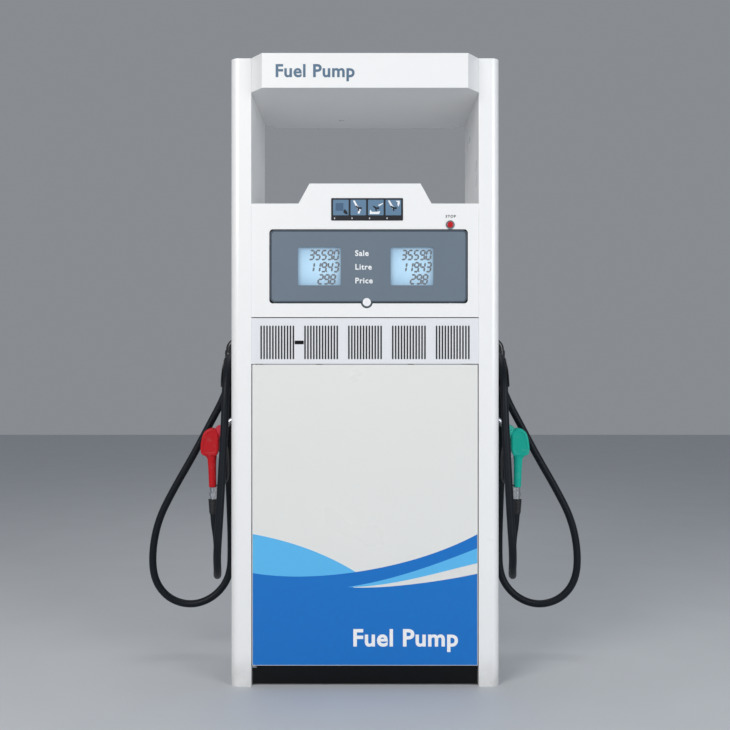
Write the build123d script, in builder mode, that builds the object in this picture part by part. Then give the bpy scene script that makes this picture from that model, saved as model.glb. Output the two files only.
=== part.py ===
from build123d import *
import os
from math import pi, radians, tan

# A double-sided fuel dispenser with one nozzle and one hose on each side.
# Millimetres, +Z up, the front faces -Y, origin on the ground at the middle of the cabinet.
# Pieces of the front face are made once and turned half a turn for the rear face.
# Pieces of the left side are made once and mirrored for the right side.

# ---------------------------------------------------------------- driving dimensions
cabinet_width = 900.0       # over both columns
cabinet_depth = 460.0       # front to rear of the columns
cabinet_height = 2100.0
column_width = 70.0
column_corner = 28.0        # radius of a column's outer vertical edges
column_wall = 2.0
panel_sheet = 2.0           # thickness of panels and covers
panel_setback = 2.0         # panels stand this far behind the columns' faces
reveal = 3.0                # gap around doors and between panels
seat_gap = 0.3              # gap between pieces that only sit close to each other
running_gap = 0.05          # radial clearance of turning and sliding fits

base_height = 50.0
base_wall = 4.0
base_flange = 60.0          # width of the floor flange that holds the anchor holes
base_top_flange = 20.0
rail_width = 40.0           # rails that carry the pump and the motor
rail_height = 20.0
rail_spacing = 180.0
anchor_hole_radius = 7.0
kick_height = 66.0          # top of the kick plates above the ground
kick_recess = 20.0
kick_sheet = 1.5

door_bottom = 70.0
door_height = 1006.0
door_return = 18.0          # depth of the folded edges of the lower doors
door_sheet = 1.5
hinge_inset = 6.0           # the lower doors' pins stand this far in from edge and face
hinge_pin_radius = 4.0

grille_height = 153.0
slot_count = 12
slot_group_count = 5
slot_pitch = 9.8
slot_width = 5.5
slot_length = 113.0
slot_group_pitch = 146.7
port_width, port_height = 30.0, 12.0
port_x = -220.0

head_shoulder = 380.0       # height of the head's side parts
head_rise = 67.0            # further height of its middle
head_rise_foot = 445.0      # width of the raised middle at the shoulders
head_rise_top = 371.0       # width at its top

display_width, display_height = 658.0, 242.0
display_x = 12.0            # centre of the display door
display_drop = 89.0         # from the shoulders down to the door's top edge
display_corner = 16.0
corner_relief = 4.0         # the cut-out's corners are this much tighter, for the door's swing
display_thickness = 8.0
display_face = 3.0          # thickness of the door's face between the windows
display_rim = 6.0
window_width, window_height = 143.0, 127.0
window_spacing = 310.0
window_x = 2.0              # centre between the two windows
window_glass = 3.0
window_lap = 4.0            # how far the glass reaches behind the face
display_pin_radius = 1.5
display_pin_inset = 5.6
lock_x = 6.0
lock_radius = 7.0
lock_face_radius = 13.5
lock_tab_radius = 17.0
plaque_width, plaque_height = 240.0, 75.0
plaque_x = 7.0
plaque_drop = 19.5          # its middle is this far below the shoulders
button_x = 285.0
button_drop = 71.0          # from the shoulders down to the stop button
button_radius = 10.0
button_ring_radius = 15.0
button_travel = 4.0

header_height = 114.0
header_reach = 58.0         # how far the header stands out of the columns' faces
header_inset = 41.0         # how far its faces narrow over that reach
header_wall = 2.0
header_ledge = 15.0         # flange that the soffit is screwed to

boot_y = 90.0               # the plane of the nozzles
boot_width = 100.0          # clear size of the nozzle pocket, front to rear
boot_bottom = 800.0
boot_height = 185.0
boot_depth = 105.0
boot_wall = 3.0
boot_flange = 8.0
flap_height = 60.0

hose_radius = 13.5
outlet_y = 190.0
outlet_reach = 60.0         # from the side wall to the hose's axis
outlet_drop = 1120.0        # height of the elbow's lower end
outlet_rise = 45.0          # from that end up to the axis through the wall
elbow_radius = 32.0
elbow_pipe_radius = 12.0

hanger_y = -25.0            # centre of the saddle's arc
hanger_height = 960.0
hanger_radius = 130.0       # radius of the surface that carries the hose
hanger_sheet = 3.0
hanger_width = 40.0

handle_top_radius = 16.5
handle_bottom_radius = 13.5
nozzle_half_thickness = 23.0
jacket_wall = 4.0
spout_radius = 10.5
spout_wall = 1.5
swivel_top = 628.4
swivel_bottom = 581.0
swivel_offset = 104.0       # from the side wall to the swivel's axis
lever_pivot = (79.0, 741.0)

# ---------------------------------------------------------------- levels and planes that follow
opening_half = cabinet_width / 2 - column_width
half_depth = cabinet_depth / 2
left_wall = -cabinet_width / 2
panel_front = half_depth - panel_setback
panel_back = panel_front - panel_sheet
base_depth = cabinet_depth - 2 * (kick_recess + kick_sheet)
door_top = door_bottom + door_height
grille_bottom = door_top + reveal
grille_top = grille_bottom + grille_height
head_bottom = grille_top + reveal
shoulder = head_bottom + head_shoulder
header_bottom = cabinet_height - header_height
display_top = shoulder - display_drop
display_middle = display_top - display_height / 2
display_bottom = display_top - display_height
lock_z = display_bottom + 1
button_z = shoulder - button_drop

os.makedirs("parts", exist_ok=True)


def write(part, name):
    """Labels a finished piece and writes it as the node of that name."""
    part.label = name
    export_step(part, "parts/" + name + ".step")


def write_both_faces(part, name):
    """Writes the front piece, and the same piece turned half a turn for the rear face."""
    write(part, "front_" + name)
    with BuildPart() as rear:
        add(part, rotation=(0, 0, 180))
    write(rear.part, "rear_" + name)


def write_both_sides(part, name):
    """Writes the left piece, and its mirror image for the right side."""
    write(part, "left_" + name)
    with BuildPart() as right:
        mirror(part, about=Plane.YZ)
    write(right.part, "right_" + name)


def front_plane(distance):
    """A plane this far in front of the cabinet's middle, drawn in X and Z, facing the front."""
    return Plane.XZ.offset(distance)


def nozzle_plane():
    """The middle plane of the left nozzle, drawn as distance from the side wall and height."""
    return Plane(origin=(left_wall, boot_y, 0), x_dir=(-1, 0, 0), z_dir=(0, 1, 0))


def outline(points):
    """A closed face through the points, as a sketch on the XY plane."""
    with BuildSketch() as shape:
        with BuildLine():
            Polyline(*points, close=True)
        make_face()
    return shape.sketch


def ring_sector(inner, outer, start, span):
    """The part of a ring about the origin between two angles, as a sketch on the XY plane."""
    with BuildSketch() as shape:
        with BuildLine():
            far = CenterArc((0, 0), outer, start, span)
            near = CenterArc((0, 0), inner, start, span)
            Line(far @ 0, near @ 0)
            Line(far @ 1, near @ 1)
        make_face()
    return shape.sketch


# ---------------------------------------------------------------- base frame and kick plates
base_width = 2 * opening_half
anchor_spacing_x = base_width - base_flange
anchor_spacing_y = base_depth - base_flange

with BuildPart() as base_frame:
    for level, width, height in (
        (0, base_flange, base_wall),
        (0, base_wall, base_height),
        (base_height - base_wall, base_top_flange, base_wall),
    ):
        with BuildSketch(Plane.XY.offset(level)):
            Rectangle(base_width, base_depth)
            Rectangle(base_width - 2 * width, base_depth - 2 * width, mode=Mode.SUBTRACT)
        extrude(amount=height)
    with BuildSketch(Plane.XY.offset(base_height - rail_height)):
        with GridLocations(0, rail_spacing, 1, 2):
            Rectangle(base_width, rail_width)
    extrude(amount=rail_height)
    with BuildSketch(Plane.XY):
        with GridLocations(anchor_spacing_x, anchor_spacing_y, 2, 2):
            Circle(anchor_hole_radius)
    extrude(amount=base_wall, mode=Mode.SUBTRACT)
write(base_frame.part, "base_frame")

with BuildPart() as kick_plates:
    with BuildSketch(Plane.XY.offset(base_wall)):
        with GridLocations(0, base_depth + kick_sheet, 1, 2):
            Rectangle(base_width - 2 * reveal, kick_sheet)
    extrude(amount=kick_height - base_wall)
write(kick_plates.part, "kick_plates")

# ---------------------------------------------------------------- columns
boot_body_width = boot_width + 2 * boot_wall
boot_body_height = boot_height + 2 * boot_wall
boot_middle = boot_bottom + boot_height / 2
outlet_z = outlet_drop + outlet_rise

with BuildPart() as column:
    with BuildSketch(Plane.XY):
        with Locations((left_wall + column_width / 2, 0)):
            Rectangle(column_width, cabinet_depth)
        fillet(vertices().sort_by(Axis.X)[:2], radius=column_corner)
        fillet(vertices().sort_by(Axis.X)[-2:], radius=column_wall)
    extrude(amount=cabinet_height)
    with BuildSketch(Plane.XY):
        with Locations((left_wall + column_width / 2, 0)):
            Rectangle(column_width - 2 * column_wall, cabinet_depth - 2 * column_wall)
        fillet(vertices().sort_by(Axis.X)[:2], radius=column_corner - column_wall)
    extrude(amount=cabinet_height - column_wall, mode=Mode.SUBTRACT)
    # the pocket of the nozzle passes through both walls, and so does the outlet pipe
    with BuildSketch(Plane.YZ.offset(left_wall)):
        with Locations((boot_y, boot_middle)):
            Rectangle(boot_body_width + 2 * seat_gap, boot_body_height + 2 * seat_gap)
        with Locations((outlet_y, outlet_z)):
            Circle(elbow_pipe_radius + seat_gap)
    extrude(amount=column_width, mode=Mode.SUBTRACT)
write_both_sides(column.part, "column")

# ---------------------------------------------------------------- header
header_half = half_depth + header_reach
header_points = (
    (opening_half, -half_depth),
    (opening_half, half_depth),
    (opening_half - header_inset, header_half),
    (header_inset - opening_half, header_half),
    (-opening_half, half_depth),
    (-opening_half, -half_depth),
    (header_inset - opening_half, -header_half),
    (opening_half - header_inset, -header_half),
)

with BuildPart() as header_shell:
    with BuildSketch(Plane.XY.offset(header_bottom)):
        add(outline(header_points))
    extrude(amount=header_height)
    with BuildSketch(Plane.XY.offset(header_bottom)):
        offset(outline(header_points), amount=-header_wall, kind=Kind.INTERSECTION)
    extrude(amount=header_height - header_wall, mode=Mode.SUBTRACT)
    with BuildSketch(Plane.XY.offset(header_bottom + panel_sheet)):
        add(outline(header_points))
        offset(outline(header_points), amount=-header_wall - header_ledge,
               kind=Kind.INTERSECTION, mode=Mode.SUBTRACT)
    extrude(amount=header_wall)
write(header_shell.part, "header_shell")

with BuildPart() as header_soffit:
    with BuildSketch(Plane.XY.offset(header_bottom)):
        offset(outline(header_points), amount=-header_wall - seat_gap, kind=Kind.INTERSECTION)
    extrude(amount=panel_sheet)
write(header_soffit.part, "header_soffit")

# ---------------------------------------------------------------- head
head_points = (
    (-opening_half, head_bottom),
    (opening_half, head_bottom),
    (opening_half, shoulder),
    (head_rise_foot / 2, shoulder),
    (head_rise_top / 2, shoulder + head_rise),
    (-head_rise_top / 2, shoulder + head_rise),
    (-head_rise_foot / 2, shoulder),
    (-opening_half, shoulder),
)
display_gap = reveal
window_z = display_middle

with BuildPart() as head_shell:
    with BuildSketch(front_plane(panel_back)):
        add(outline(head_points))
        offset(outline(head_points), amount=-panel_sheet, kind=Kind.INTERSECTION,
               mode=Mode.SUBTRACT)
        # the underside is left open for the vapour barrier
        with Locations((0, head_bottom + panel_sheet / 2)):
            Rectangle(2 * (opening_half - panel_sheet), panel_sheet, mode=Mode.SUBTRACT)
    extrude(amount=-2 * panel_back)
write(head_shell.part, "head_shell")


def display_outline(margin, corner):
    """The display door's outline with its lock tab, grown by a margin, as a sketch."""
    with BuildSketch() as shape:
        with Locations((display_x, display_middle)):
            RectangleRounded(display_width + 2 * margin, display_height + 2 * margin, corner)
        with Locations((lock_x, lock_z)):
            Circle(lock_tab_radius + margin)
    return shape.sketch


with BuildPart() as head_panel:
    with BuildSketch(front_plane(panel_back)):
        add(outline(head_points))
        add(display_outline(display_gap, display_corner - corner_relief), mode=Mode.SUBTRACT)
        with Locations((button_x, button_z)):
            Circle(button_radius + 2 + seat_gap, mode=Mode.SUBTRACT)
    extrude(amount=panel_sheet)
write_both_faces(head_panel.part, "head_panel")

# ---------------------------------------------------------------- display doors
door_rear = half_depth - display_thickness
display_pin_y = half_depth - display_pin_inset
display_pin_z = display_top - display_pin_inset
display_left = display_x - display_width / 2
display_right = display_x + display_width / 2

with BuildPart() as display_door:
    with BuildSketch(front_plane(door_rear)):
        add(display_outline(0, display_corner))
    extrude(amount=display_thickness)
    with BuildSketch(front_plane(door_rear)):
        with Locations((display_x, display_middle)):
            RectangleRounded(display_width - 4 * display_rim, display_height - 4 * display_rim,
                             display_corner - display_rim)
    extrude(amount=display_thickness - display_face, mode=Mode.SUBTRACT)
    with BuildSketch(front_plane(door_rear)):
        with Locations((window_x, window_z)):
            with GridLocations(window_spacing, 0, 2, 1):
                RectangleRounded(window_width, window_height, 4)
        with Locations((lock_x, lock_z)):
            Circle(lock_radius + running_gap)
    extrude(amount=display_thickness, mode=Mode.SUBTRACT)
    # pin holes run in from both ends of the top edge
    for end in (display_left, display_right):
        with BuildSketch(Plane.YZ.offset(end)):
            with Locations((-display_pin_y, display_pin_z)):
                Circle(display_pin_radius + running_gap)
        extrude(amount=2 * display_corner, both=True, mode=Mode.SUBTRACT)
write_both_faces(display_door.part, "display_door")

pane_width = window_width + 2 * window_lap
pane_height = window_height + 2 * window_lap
with BuildPart() as display_windows:
    with BuildSketch(front_plane(half_depth - display_face - window_glass)):
        with Locations((window_x, window_z)):
            with GridLocations(window_spacing, 0, 2, 1):
                Rectangle(pane_width, pane_height)
    extrude(amount=window_glass)
write_both_faces(display_windows.part, "display_windows")

# each pin stands on a small plate behind the head panel, and reaches into the door's end
pin_plate = 20.0
pin_reach = display_gap + 22.0
with BuildPart() as display_door_pins:
    for edge, inward in ((display_left - display_gap, 1), (display_right + display_gap, -1)):
        with BuildSketch(front_plane(panel_back - 3)):
            with Locations((edge - inward * pin_plate / 2, display_pin_z)):
                Rectangle(pin_plate, pin_plate)
        extrude(amount=3)
        with BuildSketch(Plane.YZ.offset(edge)):
            with Locations((-display_pin_y, display_pin_z)):
                Circle(display_pin_radius)
        extrude(amount=inward * pin_reach)
    add(display_door_pins.part, rotation=(0, 0, 180))
write(display_door_pins.part, "display_door_pins")

cam_length, cam_width, cam_sheet = 34.0, 10.0, 3.0
with BuildPart() as display_lock:
    with BuildSketch(front_plane(door_rear - seat_gap - cam_sheet)):
        with Locations((lock_x, lock_z)):
            Circle(lock_radius)
    extrude(amount=display_thickness + seat_gap + cam_sheet)
    with BuildSketch(front_plane(half_depth + seat_gap)):
        with Locations((lock_x, lock_z)):
            Circle(lock_face_radius)
    extrude(amount=3)
    with BuildSketch(front_plane(half_depth)):
        with Locations((lock_x, lock_z)):
            Circle(lock_radius)
    extrude(amount=seat_gap)
    with BuildSketch(front_plane(door_rear - seat_gap - cam_sheet)):
        with Locations((lock_x, lock_z + cam_length / 2)):
            Rectangle(cam_width, cam_length)
    extrude(amount=cam_sheet)
    # key slot
    with BuildSketch(front_plane(half_depth + seat_gap + 1.5)):
        with Locations((lock_x, lock_z)):
            Rectangle(2.5, 9)
    extrude(amount=1.5, mode=Mode.SUBTRACT)
write_both_faces(display_lock.part, "display_lock")

# ---------------------------------------------------------------- display boards and plaques
board_width, board_sheet = 530.0, 2.0
board_stand = 20.0          # from the head panel's back to the board
board_bottom = head_bottom + 21
board_top = display_top + 27
standoff_radius = 5.0
lcd_thickness = 10.0
board_face = panel_back - board_stand

with BuildPart() as display_boards:
    with BuildSketch(front_plane(board_face - board_sheet)):
        with Locations((window_x, (board_bottom + board_top) / 2)):
            Rectangle(board_width, board_top - board_bottom)
    extrude(amount=board_sheet)
    with BuildSketch(front_plane(board_face)):
        with Locations((window_x, window_z)):
            with GridLocations(window_spacing, 0, 2, 1):
                Rectangle(window_width + 6, window_height + 6)
    extrude(amount=lcd_thickness)
    with BuildSketch(front_plane(board_face)):
        with Locations((window_x, (board_bottom + board_top) / 2)):
            with GridLocations(board_width - 40, board_top - board_bottom - 20, 2, 2):
                Circle(standoff_radius)
    extrude(amount=board_stand)
    add(display_boards.part, rotation=(0, 0, 180))
write(display_boards.part, "display_boards")

plaque_sheet = 1.5
with BuildPart() as instruction_plaques:
    with BuildSketch(front_plane(panel_front)):
        with Locations((plaque_x, shoulder - plaque_drop)):
            RectangleRounded(plaque_width, plaque_height, 3)
    extrude(amount=plaque_sheet)
    add(instruction_plaques.part, rotation=(0, 0, 180))
write(instruction_plaques.part, "instruction_plaques")

# ---------------------------------------------------------------- stop buttons
ring_bore = button_radius + running_gap
ring_sleeve = 12.0
with BuildPart() as stop_button_rings:
    with BuildSketch(front_plane(panel_front)):
        with Locations((button_x, button_z)):
            Circle(button_ring_radius)
            Circle(ring_bore, mode=Mode.SUBTRACT)
    extrude(amount=3)
    chamfer(edges().filter_by(GeomType.CIRCLE).group_by(Axis.Y)[0].sort_by(SortBy.LENGTH)[-1], 1)
    with BuildSketch(front_plane(panel_front - ring_sleeve)):
        with Locations((button_x, button_z)):
            Circle(button_radius + 2)
            Circle(ring_bore, mode=Mode.SUBTRACT)
    extrude(amount=ring_sleeve)
    add(stop_button_rings.part, rotation=(0, 0, 180))
write(stop_button_rings.part, "stop_button_rings")

with BuildPart() as stop_button:
    with BuildSketch(front_plane(panel_front - ring_sleeve)):
        with Locations((button_x, button_z)):
            Circle(button_radius)
    extrude(amount=ring_sleeve + 3 + button_travel + 1)
    fillet(edges().filter_by(GeomType.CIRCLE).group_by(Axis.Y)[0], radius=2)
write_both_faces(stop_button.part, "stop_button")

# ---------------------------------------------------------------- grille band
grille_middle = grille_bottom + grille_height / 2
with BuildPart() as grille_panel:
    with BuildSketch(front_plane(panel_back)):
        with Locations((0, grille_middle)):
            Rectangle(2 * opening_half, grille_height)
        with Locations((0, grille_middle - 5)):
            with GridLocations(slot_group_pitch, 0, slot_group_count, 1):
                with GridLocations(slot_pitch, 0, slot_count, 1):
                    SlotOverall(slot_length, slot_width, rotation=90, mode=Mode.SUBTRACT)
        with Locations((port_x, grille_middle - 5)):
            Rectangle(port_width - 6, port_height - 4, mode=Mode.SUBTRACT)
    extrude(amount=panel_sheet)
write_both_faces(grille_panel.part, "grille_panel")

with BuildPart() as infrared_ports:
    with BuildSketch(front_plane(panel_front)):
        with Locations((port_x, grille_middle - 5)):
            RectangleRounded(port_width, port_height, 2)
    extrude(amount=1.5)
    with BuildSketch(front_plane(panel_front - 10)):
        with Locations((port_x, grille_middle - 5)):
            Rectangle(port_width - 6 - seat_gap, port_height - 4 - seat_gap)
    extrude(amount=10)
    add(infrared_ports.part, rotation=(0, 0, 180))
write(infrared_ports.part, "infrared_ports")

# ---------------------------------------------------------------- lower doors and their pins
door_half = opening_half - reveal
pin_x = hinge_inset - door_half
pin_y = panel_front - hinge_inset

with BuildPart() as lower_door:
    with BuildSketch(Plane.XY.offset(door_bottom)):
        with Locations((0, -panel_front + door_return / 2)):
            Rectangle(2 * door_half, door_return)
    extrude(amount=door_height)
    with BuildSketch(Plane.XY.offset(door_bottom + door_sheet)):
        with Locations((0, -panel_front + door_sheet + door_return / 2)):
            Rectangle(2 * (door_half - door_sheet), door_return)
    extrude(amount=door_height - 2 * door_sheet, mode=Mode.SUBTRACT)
    with BuildSketch(Plane.XY.offset(door_bottom)):
        with Locations((pin_x, -pin_y)):
            Circle(hinge_pin_radius + running_gap)
    extrude(amount=door_height, mode=Mode.SUBTRACT)
write_both_faces(lower_door.part, "lower_door")

# a bracket on the column carries each pin: the lower one has a shoulder, the upper one hangs down
bracket_reach = opening_half + pin_x + 8
bracket_depth = 15.0
bracket_sheet = 4.0
pin_length = 14.0
with BuildPart() as lower_door_pins:
    for level, direction in ((door_bottom - bracket_sheet, 1), (door_top + 2 + bracket_sheet, -1)):
        with BuildSketch(Plane.XY.offset(level)):
            with Locations((-opening_half + bracket_reach / 2, -panel_back + 0.5 + bracket_depth / 2)):
                Rectangle(bracket_reach, bracket_depth)
        extrude(amount=-bracket_sheet)
        with BuildSketch(Plane.XY.offset(level)):
            with Locations((pin_x, -pin_y)):
                Circle(hinge_pin_radius)
        extrude(amount=direction * pin_length - bracket_sheet * (direction < 0))
    with BuildSketch(Plane.XY.offset(door_bottom - bracket_sheet)):
        with Locations((pin_x, -pin_y)):
            Circle(hinge_pin_radius + 1.5)
    extrude(amount=bracket_sheet - 0.1)
    add(lower_door_pins.part, rotation=(0, 0, 180))
write(lower_door_pins.part, "lower_door_pins")

# ---------------------------------------------------------------- nozzle boots and their switch levers
boot_mouth = Plane.YZ.offset(left_wall)
with BuildPart() as boot:
    with BuildSketch(boot_mouth):
        with Locations((boot_y, boot_middle)):
            Rectangle(boot_body_width, boot_body_height)
    extrude(amount=boot_depth + boot_wall)
    with BuildSketch(boot_mouth):
        with Locations((boot_y, boot_middle)):
            RectangleRounded(boot_body_width + 2 * boot_flange, boot_body_height + 2 * boot_flange,
                             boot_flange)
    extrude(amount=-boot_wall)
    with BuildSketch(boot_mouth.offset(boot_depth)):
        with Locations((boot_y, boot_middle)):
            Rectangle(boot_width, boot_height)
    extrude(amount=-boot_depth - boot_wall, mode=Mode.SUBTRACT)
write_both_sides(boot.part, "boot")

flap_axis_x = left_wall + boot_depth - 6
flap_axis_z = boot_bottom + boot_height - 8
with BuildPart() as boot_lever:
    with BuildSketch(Plane.XZ.offset(-boot_y)):
        with Locations((flap_axis_x, flap_axis_z)):
            Circle(3)
    extrude(amount=boot_width / 2 - seat_gap, both=True)
    with BuildSketch(Plane.XZ.offset(-boot_y)):
        with Locations((flap_axis_x, flap_axis_z - flap_height / 2)):
            Rectangle(3, flap_height)
    extrude(amount=20, both=True)
write_both_sides(boot_lever.part, "boot_lever")

# ---------------------------------------------------------------- hose outlets and hangers
with BuildPart() as hose_outlet:
    inner_end = left_wall + column_width + 20
    hose_x = left_wall - outlet_reach
    with BuildLine() as elbow_path:
        FilletPolyline((inner_end, outlet_y, outlet_z), (hose_x, outlet_y, outlet_z),
                       (hose_x, outlet_y, outlet_drop), radius=elbow_radius)
    with BuildSketch(Plane(origin=elbow_path.line @ 0, z_dir=elbow_path.line % 0)):
        Circle(elbow_pipe_radius)
    sweep(path=elbow_path.line)
    # wall flange, and the ferrule that the hose is crimped in
    with BuildSketch(Plane.YZ.offset(left_wall)):
        with Locations((outlet_y, outlet_z)):
            Circle(2.0 * elbow_pipe_radius)
    extrude(amount=-6)
    with BuildSketch(Plane.XY.offset(outlet_drop)):
        with Locations((hose_x, outlet_y)):
            Circle(hose_radius + 2)
    extrude(amount=10)
write_both_sides(hose_outlet.part, "hose_outlet")

with BuildPart() as hose_hanger:
    for inner, outer, start, span, near, far in (
        (hanger_radius - 45, hanger_radius + 12, 35, 127, 0, hanger_sheet),
        (hanger_radius - hanger_sheet, hanger_radius, 35, 127, 0, hanger_width),
        (hanger_radius - hanger_sheet, hanger_radius + 14, 60, 102,
         hanger_width, hanger_width + hanger_sheet),
    ):
        with BuildSketch(Plane.YZ.offset(left_wall - near)):
            with Locations((hanger_y, hanger_height)):
                add(ring_sector(inner, outer, start, span))
        extrude(amount=near - far)
write_both_sides(hose_hanger.part, "hose_hanger")

# ---------------------------------------------------------------- hoses
# points of the left hose: distance out from the side wall, Y, Z
hose_route = (
    (60, 190, 1120), (60, 190, 985), (67, 190, 780), (57, 185, 575), (51, 182, 405),
    (54, 179, 285), (108, 174, 210), (192, 169, 176), (280, 164, 200), (336, 160, 272),
    (343, 156, 380), (318, 152, 502), (260, 149, 615), (188, 146, 738), (126, 144, 855),
    (76, 142, 948), (40, 118, 1042), (22, 35, 1107), (22, -85, 1105), (23, -170, 1022),
    (25, -183, 880), (34, -188, 715), (42, -191, 560), (51, -190, 432), (56, -136, 359),
    (70, -50, 331), (82, 36, 359), (90, 90, 432), (104, 90, 518), (104, 90, 581),
)
route = [Vector(left_wall - out, y, z) for out, y, z in hose_route]
runs = [after - before for before, after in zip(route, route[1:])]
bend_radii = [
    0.45 * min(a.length, b.length) / tan(radians(a.get_angle(b)) / 2)
    for a, b in zip(runs, runs[1:])
]
print("hose bend radii", [round(radius) for radius in bend_radii])

with BuildPart() as hose:
    with BuildLine() as hose_path:
        FilletPolyline(*route, radius=bend_radii)
    with BuildSketch(Plane(origin=hose_path.line @ 0, z_dir=hose_path.line % 0)):
        Circle(hose_radius)
    sweep(path=hose_path.line)
hose_length = sum(edge.length for edge in hose_path.edges())
print("hose length", round(hose_length), "volume ratio",
      round(hose.part.volume / (pi * hose_radius**2 * hose_length), 4))
write_both_sides(hose.part, "hose")

# ---------------------------------------------------------------- nozzles
# Each is drawn in the nozzle's middle plane as distance out from the side wall, and height.
head_profile = ((127, 742), (143, 747), (149, 757), (149, 785), (141, 824), (128, 839),
                (112, 846), (96, 843), (83, 831), (82, 800), (84, 753), (94, 742))
handle_top, handle_bottom = (111, 765), (107, 629)
neck_start, neck_end = (100, 813), (68, 845)
ear_gap = 12.5              # half the space between the lever's ears
ear_sheet = 4.0
ear_radius = 7.0
lever_axle_radius = 3.0


def section_plane(start, end, at_end=False):
    """A plane across the line between two points of the nozzle's middle plane."""
    first, last = (Vector(left_wall - out, boot_y, z) for out, z in (start, end))
    return Plane(origin=last if at_end else first, x_dir=(0, 1, 0), z_dir=last - first)


def tapered_bar(start, end, start_radius, end_radius):
    """A round bar between two points of the nozzle's middle plane."""
    with BuildPart() as bar:
        with BuildSketch(section_plane(start, end)):
            Circle(start_radius)
        with BuildSketch(section_plane(start, end, at_end=True)):
            Circle(end_radius)
        loft()
    return bar.part


def head_block(shrink, half_thickness, edge_radius):
    """The nozzle's head: its profile made smaller all round and thickened, with soft edges."""
    with BuildPart() as block:
        with BuildSketch(nozzle_plane()):
            offset(outline(head_profile), amount=-shrink, kind=Kind.INTERSECTION)
        extrude(amount=half_thickness, both=True)
        fillet(edges().group_by(Axis.Y)[0] + edges().group_by(Axis.Y)[-1], radius=edge_radius)
    return block.part


with BuildPart() as nozzle_body:
    add(head_block(jacket_wall, nozzle_half_thickness - jacket_wall, 3))
    add(tapered_bar(handle_top, handle_bottom, handle_top_radius - jacket_wall,
                    handle_bottom_radius - 2))
    add(tapered_bar(neck_start, neck_end, 17, 15.5))
    # two ears carry the lever
    with BuildSketch(nozzle_plane()):
        with BuildLine():
            Polyline((96, 775), (73, 746), (79, 734), (100, 752), close=True)
        make_face()
        with Locations(lever_pivot):
            Circle(ear_radius)
    extrude(amount=ear_gap + ear_sheet, both=True)
    with BuildSketch(nozzle_plane()):
        with Locations(lever_pivot):
            Circle(ear_radius + 6)
    extrude(amount=ear_gap, both=True, mode=Mode.SUBTRACT)
    with BuildSketch(nozzle_plane()):
        with Locations(lever_pivot):
            Circle(lever_axle_radius + running_gap)
    extrude(amount=ear_gap + ear_sheet, both=True, mode=Mode.SUBTRACT)
write_both_sides(nozzle_body.part, "nozzle_body")

with BuildPart() as nozzle_jacket:
    add(head_block(0, nozzle_half_thickness, 7))
    add(tapered_bar(handle_top, handle_bottom, handle_top_radius, handle_bottom_radius))
    add(nozzle_body.part, mode=Mode.SUBTRACT)
    with BuildSketch(nozzle_plane()):
        with Locations(lever_pivot):
            Circle(ear_radius + 6)
    extrude(amount=ear_gap, both=True, mode=Mode.SUBTRACT)
print("jacket pieces", len(nozzle_jacket.part.solids()))
write_both_sides(nozzle_jacket.part, "nozzle_jacket")

spout_points = (neck_end, (38, 875), (-92, 915))
with BuildPart() as nozzle_spout:
    with BuildLine() as spout_path:
        FilletPolyline(*(Vector(left_wall - out, boot_y, z) for out, z in spout_points), radius=60)
    with BuildSketch(Plane(origin=spout_path.line @ 0, z_dir=spout_path.line % 0)):
        Circle(spout_radius)
        Circle(spout_radius - spout_wall, mode=Mode.SUBTRACT)
    sweep(path=spout_path.line)
write_both_sides(nozzle_spout.part, "nozzle_spout")

guard_strip = 5.0
guard_points = ((83, 802), (62, 790), (50, 745), (50, 672), (66, 640), (96, 634))
with BuildPart() as nozzle_guard:
    with BuildSketch(nozzle_plane()):
        with BuildLine():
            FilletPolyline(*guard_points, radius=14)
        trace(line_width=guard_strip)
    extrude(amount=11, both=True)
    add(nozzle_jacket.part, mode=Mode.SUBTRACT)
    add(nozzle_body.part, mode=Mode.SUBTRACT)
print("guard pieces", len(nozzle_guard.part.solids()))
write_both_sides(nozzle_guard.part, "nozzle_guard")

lever_points = (lever_pivot, (80, 718), (77, 690), (70, 655))
with BuildPart() as nozzle_lever:
    with BuildSketch(nozzle_plane()):
        with BuildLine():
            FilletPolyline(*lever_points, radius=20)
        trace(line_width=guard_strip)
        with Locations(lever_pivot):
            Circle(5.5)
    extrude(amount=10, both=True)
    with BuildSketch(nozzle_plane()):
        with Locations(lever_pivot):
            Circle(lever_axle_radius)
    extrude(amount=ear_gap + ear_sheet, both=True)
write_both_sides(nozzle_lever.part, "nozzle_lever")

swivel_height = swivel_top - swivel_bottom
with BuildPart() as nozzle_swivel:
    swivel_foot = Plane(origin=(left_wall - swivel_offset, boot_y, swivel_bottom))
    for low, high, radius in ((0, 0.3, 12.0), (0.3, 0.62, 14.0), (0.62, 0.7, 11.5), (0.7, 1, 13.5)):
        with BuildSketch(swivel_foot.offset(low * swivel_height)):
            Circle(radius)
        extrude(amount=(high - low) * swivel_height)
    with BuildSketch(swivel_foot.offset(0.34 * swivel_height)):
        RegularPolygon(16, 6)
    extrude(amount=0.24 * swivel_height)
write_both_sides(nozzle_swivel.part, "nozzle_swivel")

# ---------------------------------------------------------------- what the cabinet holds
with BuildPart() as vapour_barrier:
    with BuildSketch(Plane.XY.offset(head_bottom)):
        Rectangle(2 * (opening_half - panel_sheet), 2 * panel_back)
    extrude(amount=panel_sheet)
write(vapour_barrier.part, "vapour_barrier")

control_width, control_depth, control_height = 240.0, 160.0, 130.0
control_corner = 8.0
with BuildPart() as control_box:
    for shrink, mode in ((0, Mode.ADD), (panel_sheet, Mode.SUBTRACT)):
        with BuildSketch(Plane.XY.offset(head_bottom + panel_sheet)):
            RectangleRounded(control_width - 2 * shrink, control_depth - 2 * shrink,
                             control_corner - shrink)
        extrude(amount=control_height - shrink, mode=mode)
write(control_box.part, "control_box")

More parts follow.
